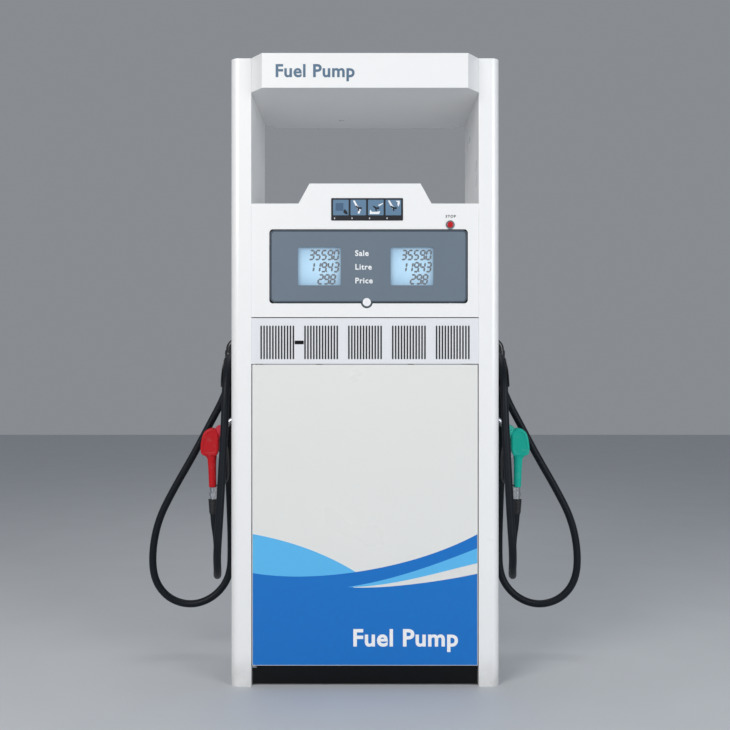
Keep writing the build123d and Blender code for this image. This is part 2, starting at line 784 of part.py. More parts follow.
pump_x, pump_z = -140.0, 190.0
motor_x, motor_z = 180.0, 150.0
pulley_y = -125.0
pulley_width = 22.0
pump_pulley_radius = 90.0
motor_pulley_radius = 40.0
shaft_radius = 11.0
pump_width, pump_depth, pump_height = 220.0, 200.0, 290.0
motor_radius, motor_length = 90.0, 230.0
belt_sheet = 6.0
casting_wall = 14.0
pipe_radius = 24.0

with BuildPart() as pump_unit:
    with BuildSketch(Plane.XY.offset(base_height)):
        with Locations((pump_x, 0)):
            Rectangle(pump_width, pump_depth)
    extrude(amount=pump_height)
    fillet(edges().filter_by(Axis.Z), radius=30)
    with BuildSketch(front_plane(pump_depth / 2)):
        with Locations((pump_x, pump_z)):
            Circle(70)
    extrude(amount=8)
    with BuildSketch(front_plane(pump_depth / 2)):
        with Locations((pump_x, pump_z)):
            Circle(shaft_radius)
    extrude(amount=-pulley_y + pulley_width / 2 - pump_depth / 2 + 4)
    with BuildSketch(Plane.XY.offset(base_height - rail_height)):
        with Locations((pump_x, 0)):
            Circle(pipe_radius + 8)
    extrude(amount=rail_height)
    # the chamber of the casting
    with BuildSketch(Plane.XY.offset(base_height + casting_wall)):
        with Locations((pump_x, 0)):
            Rectangle(pump_width - 2 * casting_wall, pump_depth - 2 * casting_wall)
    extrude(amount=pump_height - 2 * casting_wall, mode=Mode.SUBTRACT)
write(pump_unit.part, "pump_unit")

with BuildPart() as motor:
    with BuildSketch(front_plane(-motor_length / 2)):
        with Locations((motor_x, motor_z)):
            Circle(motor_radius)
    extrude(amount=motor_length - 20)
    with BuildSketch(front_plane(motor_length / 2 - 20)):
        with Locations((motor_x, motor_z)):
            Circle(shaft_radius)
    extrude(amount=-pulley_y + pulley_width / 2 - motor_length / 2 + 24)
    with BuildSketch(Plane.XY.offset(base_height)):
        with Locations((motor_x, 0)):
            Rectangle(1.5 * motor_radius, motor_length - 30)
    extrude(amount=motor_z - base_height - 0.7 * motor_radius)
    # the space round the rotor
    with BuildSketch(front_plane(casting_wall - motor_length / 2)):
        with Locations((motor_x, motor_z)):
            Circle(motor_radius - casting_wall)
            Circle(motor_radius / 2, mode=Mode.SUBTRACT)
    extrude(amount=motor_length - 20 - 2 * casting_wall, mode=Mode.SUBTRACT)
write(motor.part, "motor")


def pulley(x, z, radius):
    """A pulley with a V groove, bored for the shaft that it turns on."""
    with BuildPart() as wheel:
        with BuildSketch(front_plane(-pulley_y - pulley_width / 2)):
            with Locations((x, z)):
                Circle(radius)
        extrude(amount=pulley_width)
        with BuildSketch(front_plane(-pulley_y - pulley_width / 4)):
            with Locations((x, z)):
                Circle(radius + 1)
                Circle(radius - belt_sheet, mode=Mode.SUBTRACT)
        extrude(amount=pulley_width / 2, mode=Mode.SUBTRACT)
        with BuildSketch(front_plane(-pulley_y - pulley_width)):
            with Locations((x, z)):
                Circle(shaft_radius + running_gap)
        extrude(amount=2 * pulley_width, mode=Mode.SUBTRACT)
    return wheel.part


write(pulley(pump_x, pump_z, pump_pulley_radius), "pump_pulley")
write(pulley(motor_x, motor_z, motor_pulley_radius), "motor_pulley")


def belt_loop(grow):
    """The outline round both pulleys' grooves, grown outwards, as a sketch in X and Z."""
    with BuildSketch() as shape:
        with Locations((pump_x, pump_z)):
            Circle(pump_pulley_radius - belt_sheet + grow)
        with Locations((motor_x, motor_z)):
            Circle(motor_pulley_radius - belt_sheet + grow)
        make_hull()
    return shape.sketch


with BuildPart() as drive_belt:
    with BuildSketch(front_plane(-pulley_y - pulley_width / 4 + seat_gap)):
        add(belt_loop(belt_sheet + seat_gap))
        add(belt_loop(seat_gap), mode=Mode.SUBTRACT)
    extrude(amount=pulley_width / 2 - 2 * seat_gap)
write(drive_belt.part, "drive_belt")

with BuildPart() as suction_pipe:
    with BuildSketch(Plane.XY):
        with Locations((pump_x, 0)):
            Circle(pipe_radius)
            Circle(pipe_radius - 4, mode=Mode.SUBTRACT)
    extrude(amount=base_height - rail_height)
write(suction_pipe.part, "suction_pipe")

meter_x, meter_z = 170.0, 600.0
meter_width, meter_depth, meter_height = 150.0, 150.0, 170.0
meter_wall = 14.0
manifold_top = base_height + pump_height + 120
manifold_radius = 20.0
with BuildPart() as supply_manifold:
    with BuildLine(Plane.XZ) as manifold_path:
        FilletPolyline((pump_x, base_height + pump_height), (pump_x, manifold_top),
                       (meter_x, manifold_top), (meter_x, meter_z), radius=45)
    with BuildSketch(Plane.XY.offset(base_height + pump_height)):
        with Locations((pump_x, 0)):
            Circle(manifold_radius)
    sweep(path=manifold_path.line)
    with BuildSketch(Plane.XY.offset(manifold_top)):
        with Locations((-meter_x, 0)):
            Circle(manifold_radius)
    extrude(amount=meter_z - manifold_top)
    with BuildSketch(Plane.YZ.offset(-meter_x)):
        with Locations((0, manifold_top)):
            Circle(manifold_radius)
    extrude(amount=meter_x)
write(supply_manifold.part, "supply_manifold")

with BuildPart() as flow_meters:
    with BuildSketch(Plane.XY.offset(meter_z)):
        with GridLocations(2 * meter_x, 0, 2, 1):
            RectangleRounded(meter_width, meter_depth, 25)
    extrude(amount=meter_height)
    with BuildSketch(Plane.XY.offset(meter_z + meter_height)):
        with GridLocations(2 * meter_x, 0, 2, 1):
            Circle(45)
    extrude(amount=60)
    with BuildSketch(Plane.XY.offset(meter_z + meter_wall)):
        with GridLocations(2 * meter_x, 0, 2, 1):
            Rectangle(meter_width - 2 * meter_wall, meter_depth - 2 * meter_wall)
    extrude(amount=meter_height - 2 * meter_wall, mode=Mode.SUBTRACT)
write(flow_meters.part, "flow_meters")

# each delivery pipe runs from the back of a meter up to the elbow's inner end
pipe_end = opening_half - 20
delivery_radius = 12.0
with BuildPart() as delivery_pipes:
    with BuildLine() as delivery_path:
        FilletPolyline((-meter_x, meter_depth / 2, meter_z + 90), (-meter_x, outlet_y - 45, meter_z + 90),
                       (-meter_x, outlet_y - 45, outlet_z - 60), (-meter_x, outlet_y, outlet_z),
                       (-pipe_end, outlet_y, outlet_z), radius=25)
    with BuildSketch(Plane(origin=delivery_path.line @ 0, z_dir=delivery_path.line % 0)):
        Circle(delivery_radius)
    sweep(path=delivery_path.line)
    mirror(delivery_pipes.part, about=Plane.YZ)
write(delivery_pipes.part, "delivery_pipes")

print("nodes", len([name for name in os.listdir("parts") if name.endswith(".step")]))
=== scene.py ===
from math import cos, pi, radians, sin

import bpy
import numpy as np
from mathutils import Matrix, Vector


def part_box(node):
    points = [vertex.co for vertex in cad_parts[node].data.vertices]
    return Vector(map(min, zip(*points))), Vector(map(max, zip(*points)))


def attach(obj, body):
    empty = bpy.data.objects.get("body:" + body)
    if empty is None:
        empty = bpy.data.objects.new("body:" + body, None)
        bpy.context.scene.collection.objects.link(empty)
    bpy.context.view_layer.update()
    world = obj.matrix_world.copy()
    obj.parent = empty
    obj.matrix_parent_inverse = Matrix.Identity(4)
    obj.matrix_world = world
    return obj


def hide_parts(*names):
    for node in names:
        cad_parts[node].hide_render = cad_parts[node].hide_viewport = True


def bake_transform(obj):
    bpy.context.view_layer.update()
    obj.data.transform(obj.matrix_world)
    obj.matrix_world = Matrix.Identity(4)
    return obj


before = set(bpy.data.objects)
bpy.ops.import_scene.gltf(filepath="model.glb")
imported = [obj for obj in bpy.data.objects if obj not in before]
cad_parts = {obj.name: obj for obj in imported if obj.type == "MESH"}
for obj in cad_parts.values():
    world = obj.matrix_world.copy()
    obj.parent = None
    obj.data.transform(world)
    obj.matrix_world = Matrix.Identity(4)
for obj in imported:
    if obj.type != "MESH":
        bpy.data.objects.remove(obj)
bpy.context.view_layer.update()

# A double-sided fuel dispenser: a white sheet-steel cabinet between two columns, with displays
# in a raised head, and a hose and a nozzle on each side. Metres, +Z up, the front faces -Y.

# -------------------- camera
# A 50 mm lens stands 3.6 m in front of the dispenser at half its height and looks level at it.
camera_data = bpy.data.cameras.new("camera")
camera_data.lens = 50
camera_data.sensor_width = 36
camera = bpy.data.objects.new("camera", camera_data)
camera.location = (0, -3.619, 1.075)
camera.rotation_euler = (radians(90), 0, 0)
bpy.context.scene.collection.objects.link(camera)
bpy.context.scene.camera = camera

# -------------------- hoses
# Each is 27 mm rubber fuel hose with a smooth black cover that shows the weave of the cloth it
# was cured in. It runs from the elbow in the side wall down, up over the saddle, down again and
# up into the nozzle's swivel.
hose_radius = 0.0135
side_wall = 0.450


class Wire:
    """A shader socket that arithmetic works on. Each operator adds its own Math node."""

    def __init__(self, paint, socket):
        self.paint = paint
        self.socket = socket

    def math(self, operation, *values):
        inputs = dict(enumerate((self, *values)))
        return self.paint.node("ShaderNodeMath", {"operation": operation}, inputs)

    def __add__(self, other):
        return self.math("ADD", other)

    def __mul__(self, other):
        return self.math("MULTIPLY", other)

    def __sub__(self, other):
        return self.math("SUBTRACT", other)

    def __gt__(self, other):
        return self.math("GREATER_THAN", other)

    __radd__ = __add__
    __rmul__ = __mul__


class Paint:
    """A material. Every node of it comes from the method node."""

    def __init__(self, name):
        self.material = bpy.data.materials.new(name)
        self.material.use_nodes = True
        self.tree = self.material.node_tree
        self.tree.nodes.clear()

    def node(self, kind, settings=None, inputs=None, output=0):
        """Adds a node: its settings first, a ramp's stops among them, then its sockets."""
        made = self.tree.nodes.new(kind)
        for key, value in (settings or {}).items():
            if key == "stops":
                elements = made.color_ramp.elements
                for position, colour in value[2:]:
                    elements.new(0.5)
                for element, (position, colour) in zip(elements, value):
                    element.position = position
                    element.color = colour
            else:
                setattr(made, key, value)
        for key, value in (inputs or {}).items():
            if isinstance(value, Wire):
                self.tree.links.new(value.socket, made.inputs[key])
            else:
                made.inputs[key].default_value = value
        return Wire(self, made.outputs[output]) if made.outputs else None

    def place(self, kind="Object"):
        return self.node("ShaderNodeTexCoord", output=kind)

    def axis(self, letter):
        """The coordinate of that letter in the row frame, in metres."""
        return self.node("ShaderNodeSeparateXYZ", None, {0: self.place()}, output=letter)

    def noise(self, scale, detail=3.0, vector=None):
        """Noise from 0 to 1, with that many features to a metre."""
        return self.node("ShaderNodeTexNoise", None, {
            "Vector": vector or self.place(), "Scale": scale, "Detail": detail})

    def mix(self, share, first, second):
        """The first colour where share is 0, the second where it is 1."""
        return self.node("ShaderNodeMix", {"data_type": "RGBA"}, {0: share, 6: first, 7: second},
                         output=2)

    def bump(self, height, depth, strength=1.0):
        """A normal from a height of 0 to 1 that stands for depth metres."""
        return self.node("ShaderNodeBump", None, {
            "Height": height, "Distance": depth, "Strength": strength})

    def finish(self, sockets):
        """Puts the surface on the material's output."""
        surface = self.node("ShaderNodeBsdfPrincipled", None, sockets)
        self.node("ShaderNodeOutputMaterial", None, {"Surface": surface})
        return self.material


def shade(red, green, blue):
    """A colour given as 0 to 255 on a screen, as the shader's linear colour."""
    screen = np.array((red, green, blue)) / 255
    linear = np.where(screen <= 0.04045, screen / 12.92, ((screen + 0.055) / 1.055) ** 2.4)
    return (*linear.tolist(), 1.0)


def scaled(colour, factor):
    """A darker or a paler copy of a colour."""
    return tuple(factor * part for part in colour[:3]) + (1.0,)


def hose_rubber():
    """Black rubber with a fine cloth print, a bluish tint in both colours that is a painted sheen, and
    some forecourt dust.
    """
    paint = Paint("hose_rubber")
    along = paint.place("UV")
    print_of_cloth = paint.node("ShaderNodeTexWave", {"bands_direction": "DIAGONAL"}, {
        "Vector": along, "Scale": 260.0, "Distortion": 1.5, "Detail": 1.0})
    dust = paint.noise(14.0, 6.0)
    return paint.finish({
        # both colours are tinted blue as a painted sheen; the paler one is dust
        "Base Color": paint.mix(dust, shade(9, 14, 21), shade(20, 26, 34)),
        "Roughness": 0.34 + dust * 0.2,
        "Specular IOR Level": 0.22,
        "Normal": paint.bump(print_of_cloth, 0.0002, 0.5)})


def grid_mesh(name, points, material, closed_across=True, caps=True, shares=None):
    """A surface through a grid of points, rows by columns by 3. Each row is a ring where
    closed_across is true, and caps closes the first and the last ring with a fan."""
    rows, columns, _ = points.shape
    index = np.arange(rows * columns).reshape(rows, columns)
    after = np.roll(index, -1, axis=1)
    last = columns if closed_across else columns - 1
    quads = np.stack((index[:-1, :last], after[:-1, :last], after[1:, :last], index[1:, :last]),
                     axis=-1).reshape(-1, 4)
    corners = points.reshape(-1, 3)
    faces = quads.tolist()
    if closed_across and caps:
        corners = np.vstack((corners, points[0].mean(0), points[-1].mean(0)))
        start, end = rows * columns, rows * columns + 1
        faces += [[start, b, a] for a, b in zip(index[0], after[0])]
        faces += [[end, a, b] for a, b in zip(index[-1], after[-1])]
    mesh = bpy.data.meshes.new(name)
    mesh.from_pydata(corners.tolist(), [], [[int(corner) for corner in face] for face in faces])
    mesh.polygons.foreach_set("use_smooth", np.ones(len(mesh.polygons), dtype=bool))
    if shares is not None:
        layer = mesh.uv_layers.new(name="along_and_round")
        corner_of = np.zeros(len(mesh.loops), dtype=np.int32)
        mesh.loops.foreach_get("vertex_index", corner_of)
        table = np.vstack((shares.reshape(-1, 2), np.zeros((len(corners) - rows * columns, 2))))
        layer.data.foreach_set("uv", table[corner_of].ravel())
    mesh.materials.append(material)
    piece = bpy.data.objects.new(name, mesh)
    bpy.context.scene.collection.objects.link(piece)
    return piece


def spots_of(mesh):
    """The mesh's corners, one row each."""
    flat = np.zeros(len(mesh.vertices) * 3)
    mesh.vertices.foreach_get("co", flat)
    return flat.reshape(-1, 3)


def faces_out(piece):
    """Turns all faces of a closed piece outwards: its volume by the divergence rule is positive."""
    mesh = piece.data
    mesh.calc_loop_triangles()
    triangles = np.zeros(len(mesh.loop_triangles) * 3, dtype=np.int32)
    mesh.loop_triangles.foreach_get("vertices", triangles)
    a, b, c = spots_of(mesh)[triangles.reshape(-1, 3)].transpose(1, 0, 2)
    if np.einsum("ij,ij->i", a, np.cross(b, c)).sum() < 0:
        mesh.flip_normals()
    return piece


def line_of(points):
    """The points of a smooth spline with the given control points, read from its curve."""
    curve = bpy.data.curves.new("line", "CURVE")
    curve.dimensions = "3D"
    curve.resolution_u = 24
    spline = curve.splines.new("NURBS")
    spline.points.add(len(points) - 1)
    spline.points.foreach_set("co", np.insert(np.array(points, float), 3, 1.0, axis=1).ravel())
    spline.order_u = 3
    spline.use_endpoint_u = True
    holder = bpy.data.objects.new("line", curve)
    mesh = bpy.data.meshes.new_from_object(holder)
    bpy.data.objects.remove(holder)
    return spots_of(mesh)


def walked(line):
    """How far along a line each of its points is."""
    return np.insert(np.cumsum(np.linalg.norm(np.diff(line, axis=0), axis=1)), 0, 0.0)


def spaced(line, step):
    """The same line with points that many metres apart."""
    far = walked(line)
    stops = np.linspace(0, far[-1], int(far[-1] / step) + 2)
    return np.stack([np.interp(stops, far, line[:, axis]) for axis in range(3)], axis=1)


def frames_along(line):
    """Unit vectors along a line and two across it, carried from point to point without twist."""
    along = np.gradient(line, axis=0)
    along /= np.linalg.norm(along, axis=1, keepdims=True)
    first = np.cross(along[0], (0.3, 1.0, 0.1))
    across = [first / np.linalg.norm(first)]
    for direction in along[1:]:
        carried = across[-1] - direction * np.dot(across[-1], direction)
        across.append(carried / np.linalg.norm(carried))
    across = np.array(across)
    return along, across, np.cross(along, across)


def tube(line, radii, columns=28):
    """Rings about a line: point + radius times (cos a, sin a) in the plane across it."""
    along, across, beside = frames_along(line)
    angle = np.linspace(0, 2 * pi, columns, endpoint=False)
    radii = np.broadcast_to(np.asarray(radii, float), (len(line),))[:, None, None]
    return line[:, None] + radii * (across[:, None] * np.cos(angle)[None, :, None]
                                    + beside[:, None] * np.sin(angle)[None, :, None])


hose_route = (
    (60, 190, 1120), (60, 190, 985), (67, 190, 780), (57, 185, 575), (51, 182, 405),
    (54, 179, 285), (108, 174, 210), (192, 169, 176), (280, 164, 200), (336, 160, 272),
    (343, 156, 380), (318, 152, 502), (260, 149, 615), (188, 146, 738), (126, 144, 855),
    (76, 142, 948), (40, 118, 1042), (22, 35, 1107), (22, -85, 1105), (23, -170, 1022),
    (25, -183, 880), (34, -188, 715), (42, -191, 560), (51, -190, 432), (56, -136, 359),
    (70, -50, 331), (82, 36, 359), (90, 90, 432), (104, 90, 518), (104, 90, 581),
)
hose_finish = hose_rubber()
hose_lines = {}
for side, sign in (("left", -1), ("right", 1)):
    route = np.array(hose_route) / 1000 * (sign, 1, 1) + (sign * side_wall, 0, 0)
    line = spaced(line_of(route), 0.007)
    hose_lines[side] = line
    far = walked(line)
    turn = np.linspace(0, 2 * pi * hose_radius, 28, endpoint=False)
    shares = np.stack(np.meshgrid(far, turn, indexing="ij"), axis=-1)
    hose = faces_out(grid_mesh(side + "_fuel_hose", tube(line, hose_radius), hose_finish,
                               shares=shares))
    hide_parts(side + "_hose")
    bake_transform(hose)
    # the give is shared along the hose's own length, from the saddle's front end to the swivel
    give = np.clip((far - far[-1] + 1.25) / 1.2, 0, 1)
    give = np.append(np.repeat(give * give * (3 - 2 * give), 28), (0.0, 1.0))

# -------------------- columns
# Each column is folded from sheet steel, closed on top, with large outer corners, and powder
# coated white. Its foot stands on the island, where rain splashes some dirt on it.


def powder_coat(name, colour, dirt_height=0.12):
    """Glossy powder coat: an orange-peel skin, faint cloudiness, and dirt that fades upwards."""
    paint = Paint(name)
    peel = paint.noise(420.0, 2.0)
    cloud = paint.noise(2.5, 5.0)
    low = paint.node("ShaderNodeMapRange", {"interpolation_type": "SMOOTHSTEP"}, {
        0: paint.axis("Z"), 1: 0.0, 2: dirt_height, 3: 1.0, 4: 0.0})
    dirt = low * paint.noise(22.0, 6.0) * 0.55
    clean = paint.mix(cloud, colour, scaled(colour, 0.955))
    return paint.finish({
        "Base Color": paint.mix(dirt, clean, shade(126, 120, 110)),
        "Roughness": 0.24 + cloud * 0.1 + dirt * 0.5,
        "Coat Weight": 0.25,
        "Coat Roughness": 0.12,
        "Normal": paint.bump(peel, 0.00006, 0.6)})


def coat(material, *nodes):
    """Gives CAD nodes a material."""
    for node in nodes:
        for part_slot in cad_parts[node].material_slots:
            part_slot.material = material


white = powder_coat("white_powder_coat", shade(243, 243, 243))
coat(white, "left_column", "right_column")

# -------------------- header
# A folded sheet-steel box with chamfered ends on both faces and a screwed-on soffit. A plain
# word in slate-blue vinyl stands on the left of each face.


def word(name, text, height, left, baseline, front, turn, material, spread=1.0):
    """Letters cut from thin film: a font's outline in X and Z, made 0.3 mm thick and bold."""
    letters = bpy.data.curves.new(name, "FONT")
    letters.body = text
    letters.size = height / 0.73
    letters.space_character = spread
    letters.offset = 0.036 * height
    letters.extrude = 0.00015
    letters.resolution_u = 4
    holder = bpy.data.objects.new(name, letters)
    mesh = bpy.data.meshes.new_from_object(holder)
    bpy.data.objects.remove(holder)
    x, up, out = spots_of(mesh).T
    spots = np.stack(((left + x) * turn, (front - out) * turn, baseline + up), axis=1)
    mesh.vertices.foreach_set("co", spots.ravel())
    mesh.materials.clear()
    mesh.materials.append(material)
    piece = bpy.data.objects.new(name, mesh)
    bpy.context.scene.collection.objects.link(piece)
    return faces_out(piece)


def film(name, colour):
    """Cut vinyl film: even colour with a slight stretch grain, and a satin skin."""
    paint = Paint(name)
    grain = paint.noise(60.0, 5.0)
    return paint.finish({
        "Base Color": paint.mix(grain, colour, scaled(colour, 0.93)),
        "Roughness": 0.3 + grain * 0.12,
        "Normal": paint.bump(paint.noise(900.0, 2.0), 0.00002, 0.5)})


def place_on(piece, body="cabinet"):
    """Makes a piece move with a body."""
    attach(piece, body)


faces = (("front", 1), ("rear", -1))
header_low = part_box("header_shell")[0]
slate_film = film("slate_film", shade(88, 116, 140))
coat(white, "header_shell", "header_soffit")
for face, turn in faces:
    name_plate = word(face + "_header_word", "Fuel Pump", 0.043, -0.2965, header_low.z + 0.036,
                      header_low.y - 0.0002, turn, slate_film, 1.06)
    place_on(name_plate)

# -------------------- head and its plaques
# The head is a wrapped sheet-steel case with a front and a rear panel that rise in the middle.
# A printed plaque on each panel shows the four steps of filling up in pictures.


def prisms(name, outlines, front, thickness, material, turn):
    """Flat plates with the given outlines in X and Z, each carried back from the front plane."""
    corners, polygons = [], []
    for points in outlines:
        count, start = len(points), len(corners)
        for depth in (front, front + thickness):
            corners += [(x * turn, depth * turn, z) for x, z in points]
        ring = list(range(start, start + count))
        back = list(range(start + count, start + 2 * count))
        polygons += [ring, back[::-1]]
        polygons += [[ring[i], back[i], back[(i + 1) % count], ring[(i + 1) % count]]
                     for i in range(count)]
    mesh = bpy.data.meshes.new(name)
    mesh.from_pydata(corners, [], polygons)
    mesh.materials.append(material)
    piece = bpy.data.objects.new(name, mesh)
    bpy.context.scene.collection.objects.link(piece)
    return faces_out(piece)


def rounded(x, z, width, height, radius, per_corner=7):
    """A rectangle's outline with round corners, anticlockwise: corner centre + radius (cos, sin)."""
    angle = np.linspace(0, pi / 2, per_corner)
    quarter = np.stack((np.cos(angle), np.sin(angle)), axis=1) * radius
    points = []
    for turns, (sx, sz) in enumerate(((1, 1), (-1, 1), (-1, -1), (1, -1))):
        c, s = cos(turns * pi / 2), sin(turns * pi / 2)
        centre = (x + sx * (width / 2 - radius), z + sz * (height / 2 - radius))
        points.append(quarter @ np.array(((c, s), (-s, c))) + centre)
    return np.vstack(points)


def enamel(name, colour, roughness=0.3, wear=0.06, gleam=0.5):
    """Smooth moulded or printed plastic: slight mottling and fine handling scratches."""
    paint = Paint(name)
    mottle = paint.noise(35.0, 6.0)
    scratches = paint.node("ShaderNodeTexNoise", None, {
        "Vector": paint.node("ShaderNodeMapping", None, {
            "Vector": paint.place(), "Scale": (40.0, 40.0, 900.0)}), "Scale": 2.0, "Detail": 2.0})
    return paint.finish({
        "Base Color": paint.mix(mottle, colour, scaled(colour, 1 - wear)),
        "Roughness": roughness + mottle * 0.12, "Specular IOR Level": gleam,
        "Normal": paint.bump(scratches, 0.00002, 0.4)})


black_print = enamel("black_print", shade(26, 29, 33))
tile_print = enamel("tile_print", shade(98, 130, 158))
white_print = enamel("white_print", shade(240, 242, 244))
deep_print = enamel("deep_print", shade(70, 98, 128))
coat(white, "head_shell", "front_head_panel", "rear_head_panel")
coat(black_print, "instruction_plaques")

plaque_low, plaque_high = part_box("instruction_plaques")
plaque_face = plaque_low.y
tile, tile_pitch = 0.052, 0.0585
tile_z = (plaque_low.z + plaque_high.z) / 2 + 0.006
first_tile = -1.5 * tile_pitch + 0.007
# pictures on a tile, as outlines from its centre with its half width as 1
arm = ((-0.75, 0.95), (-0.5, 0.98), (-0.12, 0.3), (0.12, -0.1), (-0.12, -0.2), (-0.34, 0.12))
hand = ((-0.02, -0.05), (0.3, -0.02), (0.32, -0.35), (0.16, -0.85), (-0.1, -0.82), (-0.02, -0.4))
pistol = ((-0.42, 0.12), (-0.3, 0.26), (0.1, 0.02), (0.4, 0.06), (0.52, -0.1), (0.34, -0.24),
          (0.1, -0.2), (0.16, -0.44), (-0.02, -0.5), (-0.1, -0.14))
spout = ((0.3, 0.28), (0.42, 0.4), (0.95, 0.62), (0.98, 0.5), (0.5, 0.2))
tank = ((-0.85, -0.9), (0.45, -0.9), (0.6, -0.5), (0.2, -0.58), (-0.5, -0.6), (-0.8, -0.3))
screen = ((-0.72, -0.45), (0.35, -0.45), (0.35, 0.62), (-0.72, 0.62))
finger = ((0.3, -0.62), (0.52, -0.2), (0.86, -0.55), (0.96, -0.95), (0.62, -0.9))
back_hand = ((0.3, 0.9), (0.85, 0.95), (0.9, 0.6), (0.7, 0.1), (0.55, 0.35), (0.6, 0.7))
pictures = (((screen, deep_print), (finger, black_print)),
            ((arm, white_print), (hand, white_print), (pistol, black_print)),
            ((tank, white_print), (spout, white_print), (pistol, black_print)),
            ((arm, white_print), (back_hand, white_print), (pistol, black_print)))
for face, turn in faces:
    tiles = [rounded(first_tile + i * tile_pitch, tile_z, tile, tile, 0.002, 4) for i in range(4)]
    printed = prisms(face + "_plaque_tiles", tiles, plaque_face - 0.0003, 0.0003, tile_print, turn)
    place_on(printed)
    for number, picture in enumerate(pictures):
        centre = np.array((first_tile + number * tile_pitch, tile_z))
        for layer, (points, ink) in enumerate(picture):
            mark = prisms(f"{face}_picture_{number + 1}_{layer + 1}",
                          [centre + np.array(points) * tile / 2 * 0.94],
                          plaque_face - 0.0005 - 0.0001 * layer, 0.0003 + 0.0001 * layer, ink, turn)
            place_on(mark)
    ticks = [rounded(first_tile + i * tile_pitch - 0.021, plaque_low.z + 0.0075, 0.003, 0.005,
                     0.001, 3) for i in range(4)]
    tick_marks = prisms(face + "_plaque_ticks", ticks, plaque_face - 0.0003, 0.0003, white_print, turn)
    place_on(tick_marks)

# -------------------- stop buttons
# A red button of moulded plastic slides in a turned metal ring, under a small printed word.


def turned_metal(name, colour, roughness, rings=1400.0):
    """Polished or brushed metal: fine lines across Z and a little tarnish."""
    paint = Paint(name)
    lines = paint.node("ShaderNodeTexNoise", None, {
        "Vector": paint.node("ShaderNodeMapping", None, {
            "Vector": paint.place(), "Scale": (30.0, 30.0, rings)}), "Scale": 1.0, "Detail": 3.0})
    tarnish = paint.noise(30.0, 6.0)
    return paint.finish({
        "Base Color": paint.mix(tarnish, colour, scaled(colour, 0.8)),
        "Metallic": 1.0,
        "Roughness": roughness + lines * 0.1 + tarnish * 0.06,
        "Normal": paint.bump(lines, 0.00003, 0.5)})


chrome = turned_metal("bright_chrome", shade(214, 216, 220), 0.08)
steel = turned_metal("brushed_steel", shade(176, 178, 182), 0.28)
red = enamel("red_plastic", shade(190, 24, 30), 0.22)
coat(chrome, "stop_button_rings")
coat(red, "front_stop_button", "rear_stop_button")
ring_low, ring_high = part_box("stop_button_rings")
panel_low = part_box("front_head_panel")[0]
for face, turn in faces:
    stop = word(face + "_stop_word", "STOP", 0.009, 0.2695, 0.5 * (ring_low.z + ring_high.z) + 0.024,
                panel_low.y - 0.0002, turn, black_print, 1.25)
    place_on(stop)

# -------------------- display doors
# Each door is a slate-blue moulding with a dark rubber edge, hinged along its top and held by
# a round white lock. Two clear panes let the liquid-crystal displays behind it show.


def slate_moulding():
    """Slate-blue moulded plastic with a fine spark-eroded grain and a satin sheen."""
    paint = Paint("slate_moulding")
    grain = paint.noise(1300.0, 2.0)
    shift = paint.noise(5.0, 4.0)
    return paint.finish({
        "Base Color": paint.mix(shift, shade(106, 119, 132), shade(99, 112, 125)),
        "Roughness": 0.42 + shift * 0.1,
        "Normal": paint.bump(grain, 0.00006, 0.7)})


def clear_pane():
    """A clear pane: mostly see-through, with a soft gleam and faint smears."""
    paint = Paint("clear_pane")
    smears = paint.noise(18.0, 5.0)
    return paint.finish({
        "Base Color": (0.9, 0.95, 1.0, 1.0), "Roughness": 0.03 + smears * 0.08, "Alpha": 0.1})


def edge_seal():
    """Dark slate rubber with a dry, slightly rough skin."""
    paint = Paint("edge_seal")
    skin = paint.noise(700.0, 3.0)
    return paint.finish({"Base Color": paint.mix(skin, shade(58, 69, 81), shade(70, 82, 94)),
                         "Roughness": 0.55 + skin * 0.15, "Normal": paint.bump(skin, 0.00005)})


lock_white = enamel("lock_white", shade(244, 244, 246), 0.2)
coat(slate_moulding(), "front_display_door", "rear_display_door")
coat(clear_pane(), "front_display_windows", "rear_display_windows")
coat(lock_white, "front_display_lock", "rear_display_lock")
door_low, door_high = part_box("front_display_door")
door_top, door_face = door_high.z, door_low.y
door_size = (door_high.x - door_low.x, 0.242)
door_centre = ((door_low.x + door_high.x) / 2, door_top - door_size[1] / 2)
seal = edge_seal()
seal_width, seal_stand = 0.0055, 0.0012
for face, turn in faces:
    path = rounded(*door_centre, door_size[0] - seal_width, door_size[1] - seal_width,
                   0.016 - seal_width / 2, 12)
    ahead = np.roll(path, -1, axis=0) - np.roll(path, 1, axis=0)
    outwards = np.stack((ahead[:, 1], -ahead[:, 0]), axis=1)
    outwards /= np.linalg.norm(outwards, axis=1, keepdims=True)
    # a low half-round bead: across the edge by cos a, out of the face by sin a
    angle = np.linspace(0, pi, 9)
    across = path[:, None] + outwards[:, None] * (np.cos(angle) * seal_width / 2)[None, :, None]
    depth = np.broadcast_to(door_face + 0.0004 - np.sin(angle) * seal_stand, across.shape[:2])
    bead = np.stack((across[..., 0] * turn, depth * turn, across[..., 1]), axis=-1)
    bead = np.concatenate((bead, bead[:1]), axis=0)
    edge = faces_out(grid_mesh(face + "_display_edge", bead, seal, caps=False))
    place_on(edge, face + "_display_door")
    for line_number, (label, baseline) in enumerate((("Sale", 1.4400), ("Litre", 1.3943),
                                                     ("Price", 1.3485))):
        printed = word(f"{face}_label_{line_number + 1}", label, 0.0190, -0.0335, baseline,
                       door_face - 0.0002, turn, white_print, 1.12)
        place_on(printed, face + "_display_door")

# -------------------- displays
# Two liquid-crystal displays stand on a circuit board behind each door, lit from behind in
# light blue. Each shows three lines of slanted figures in dark ink.


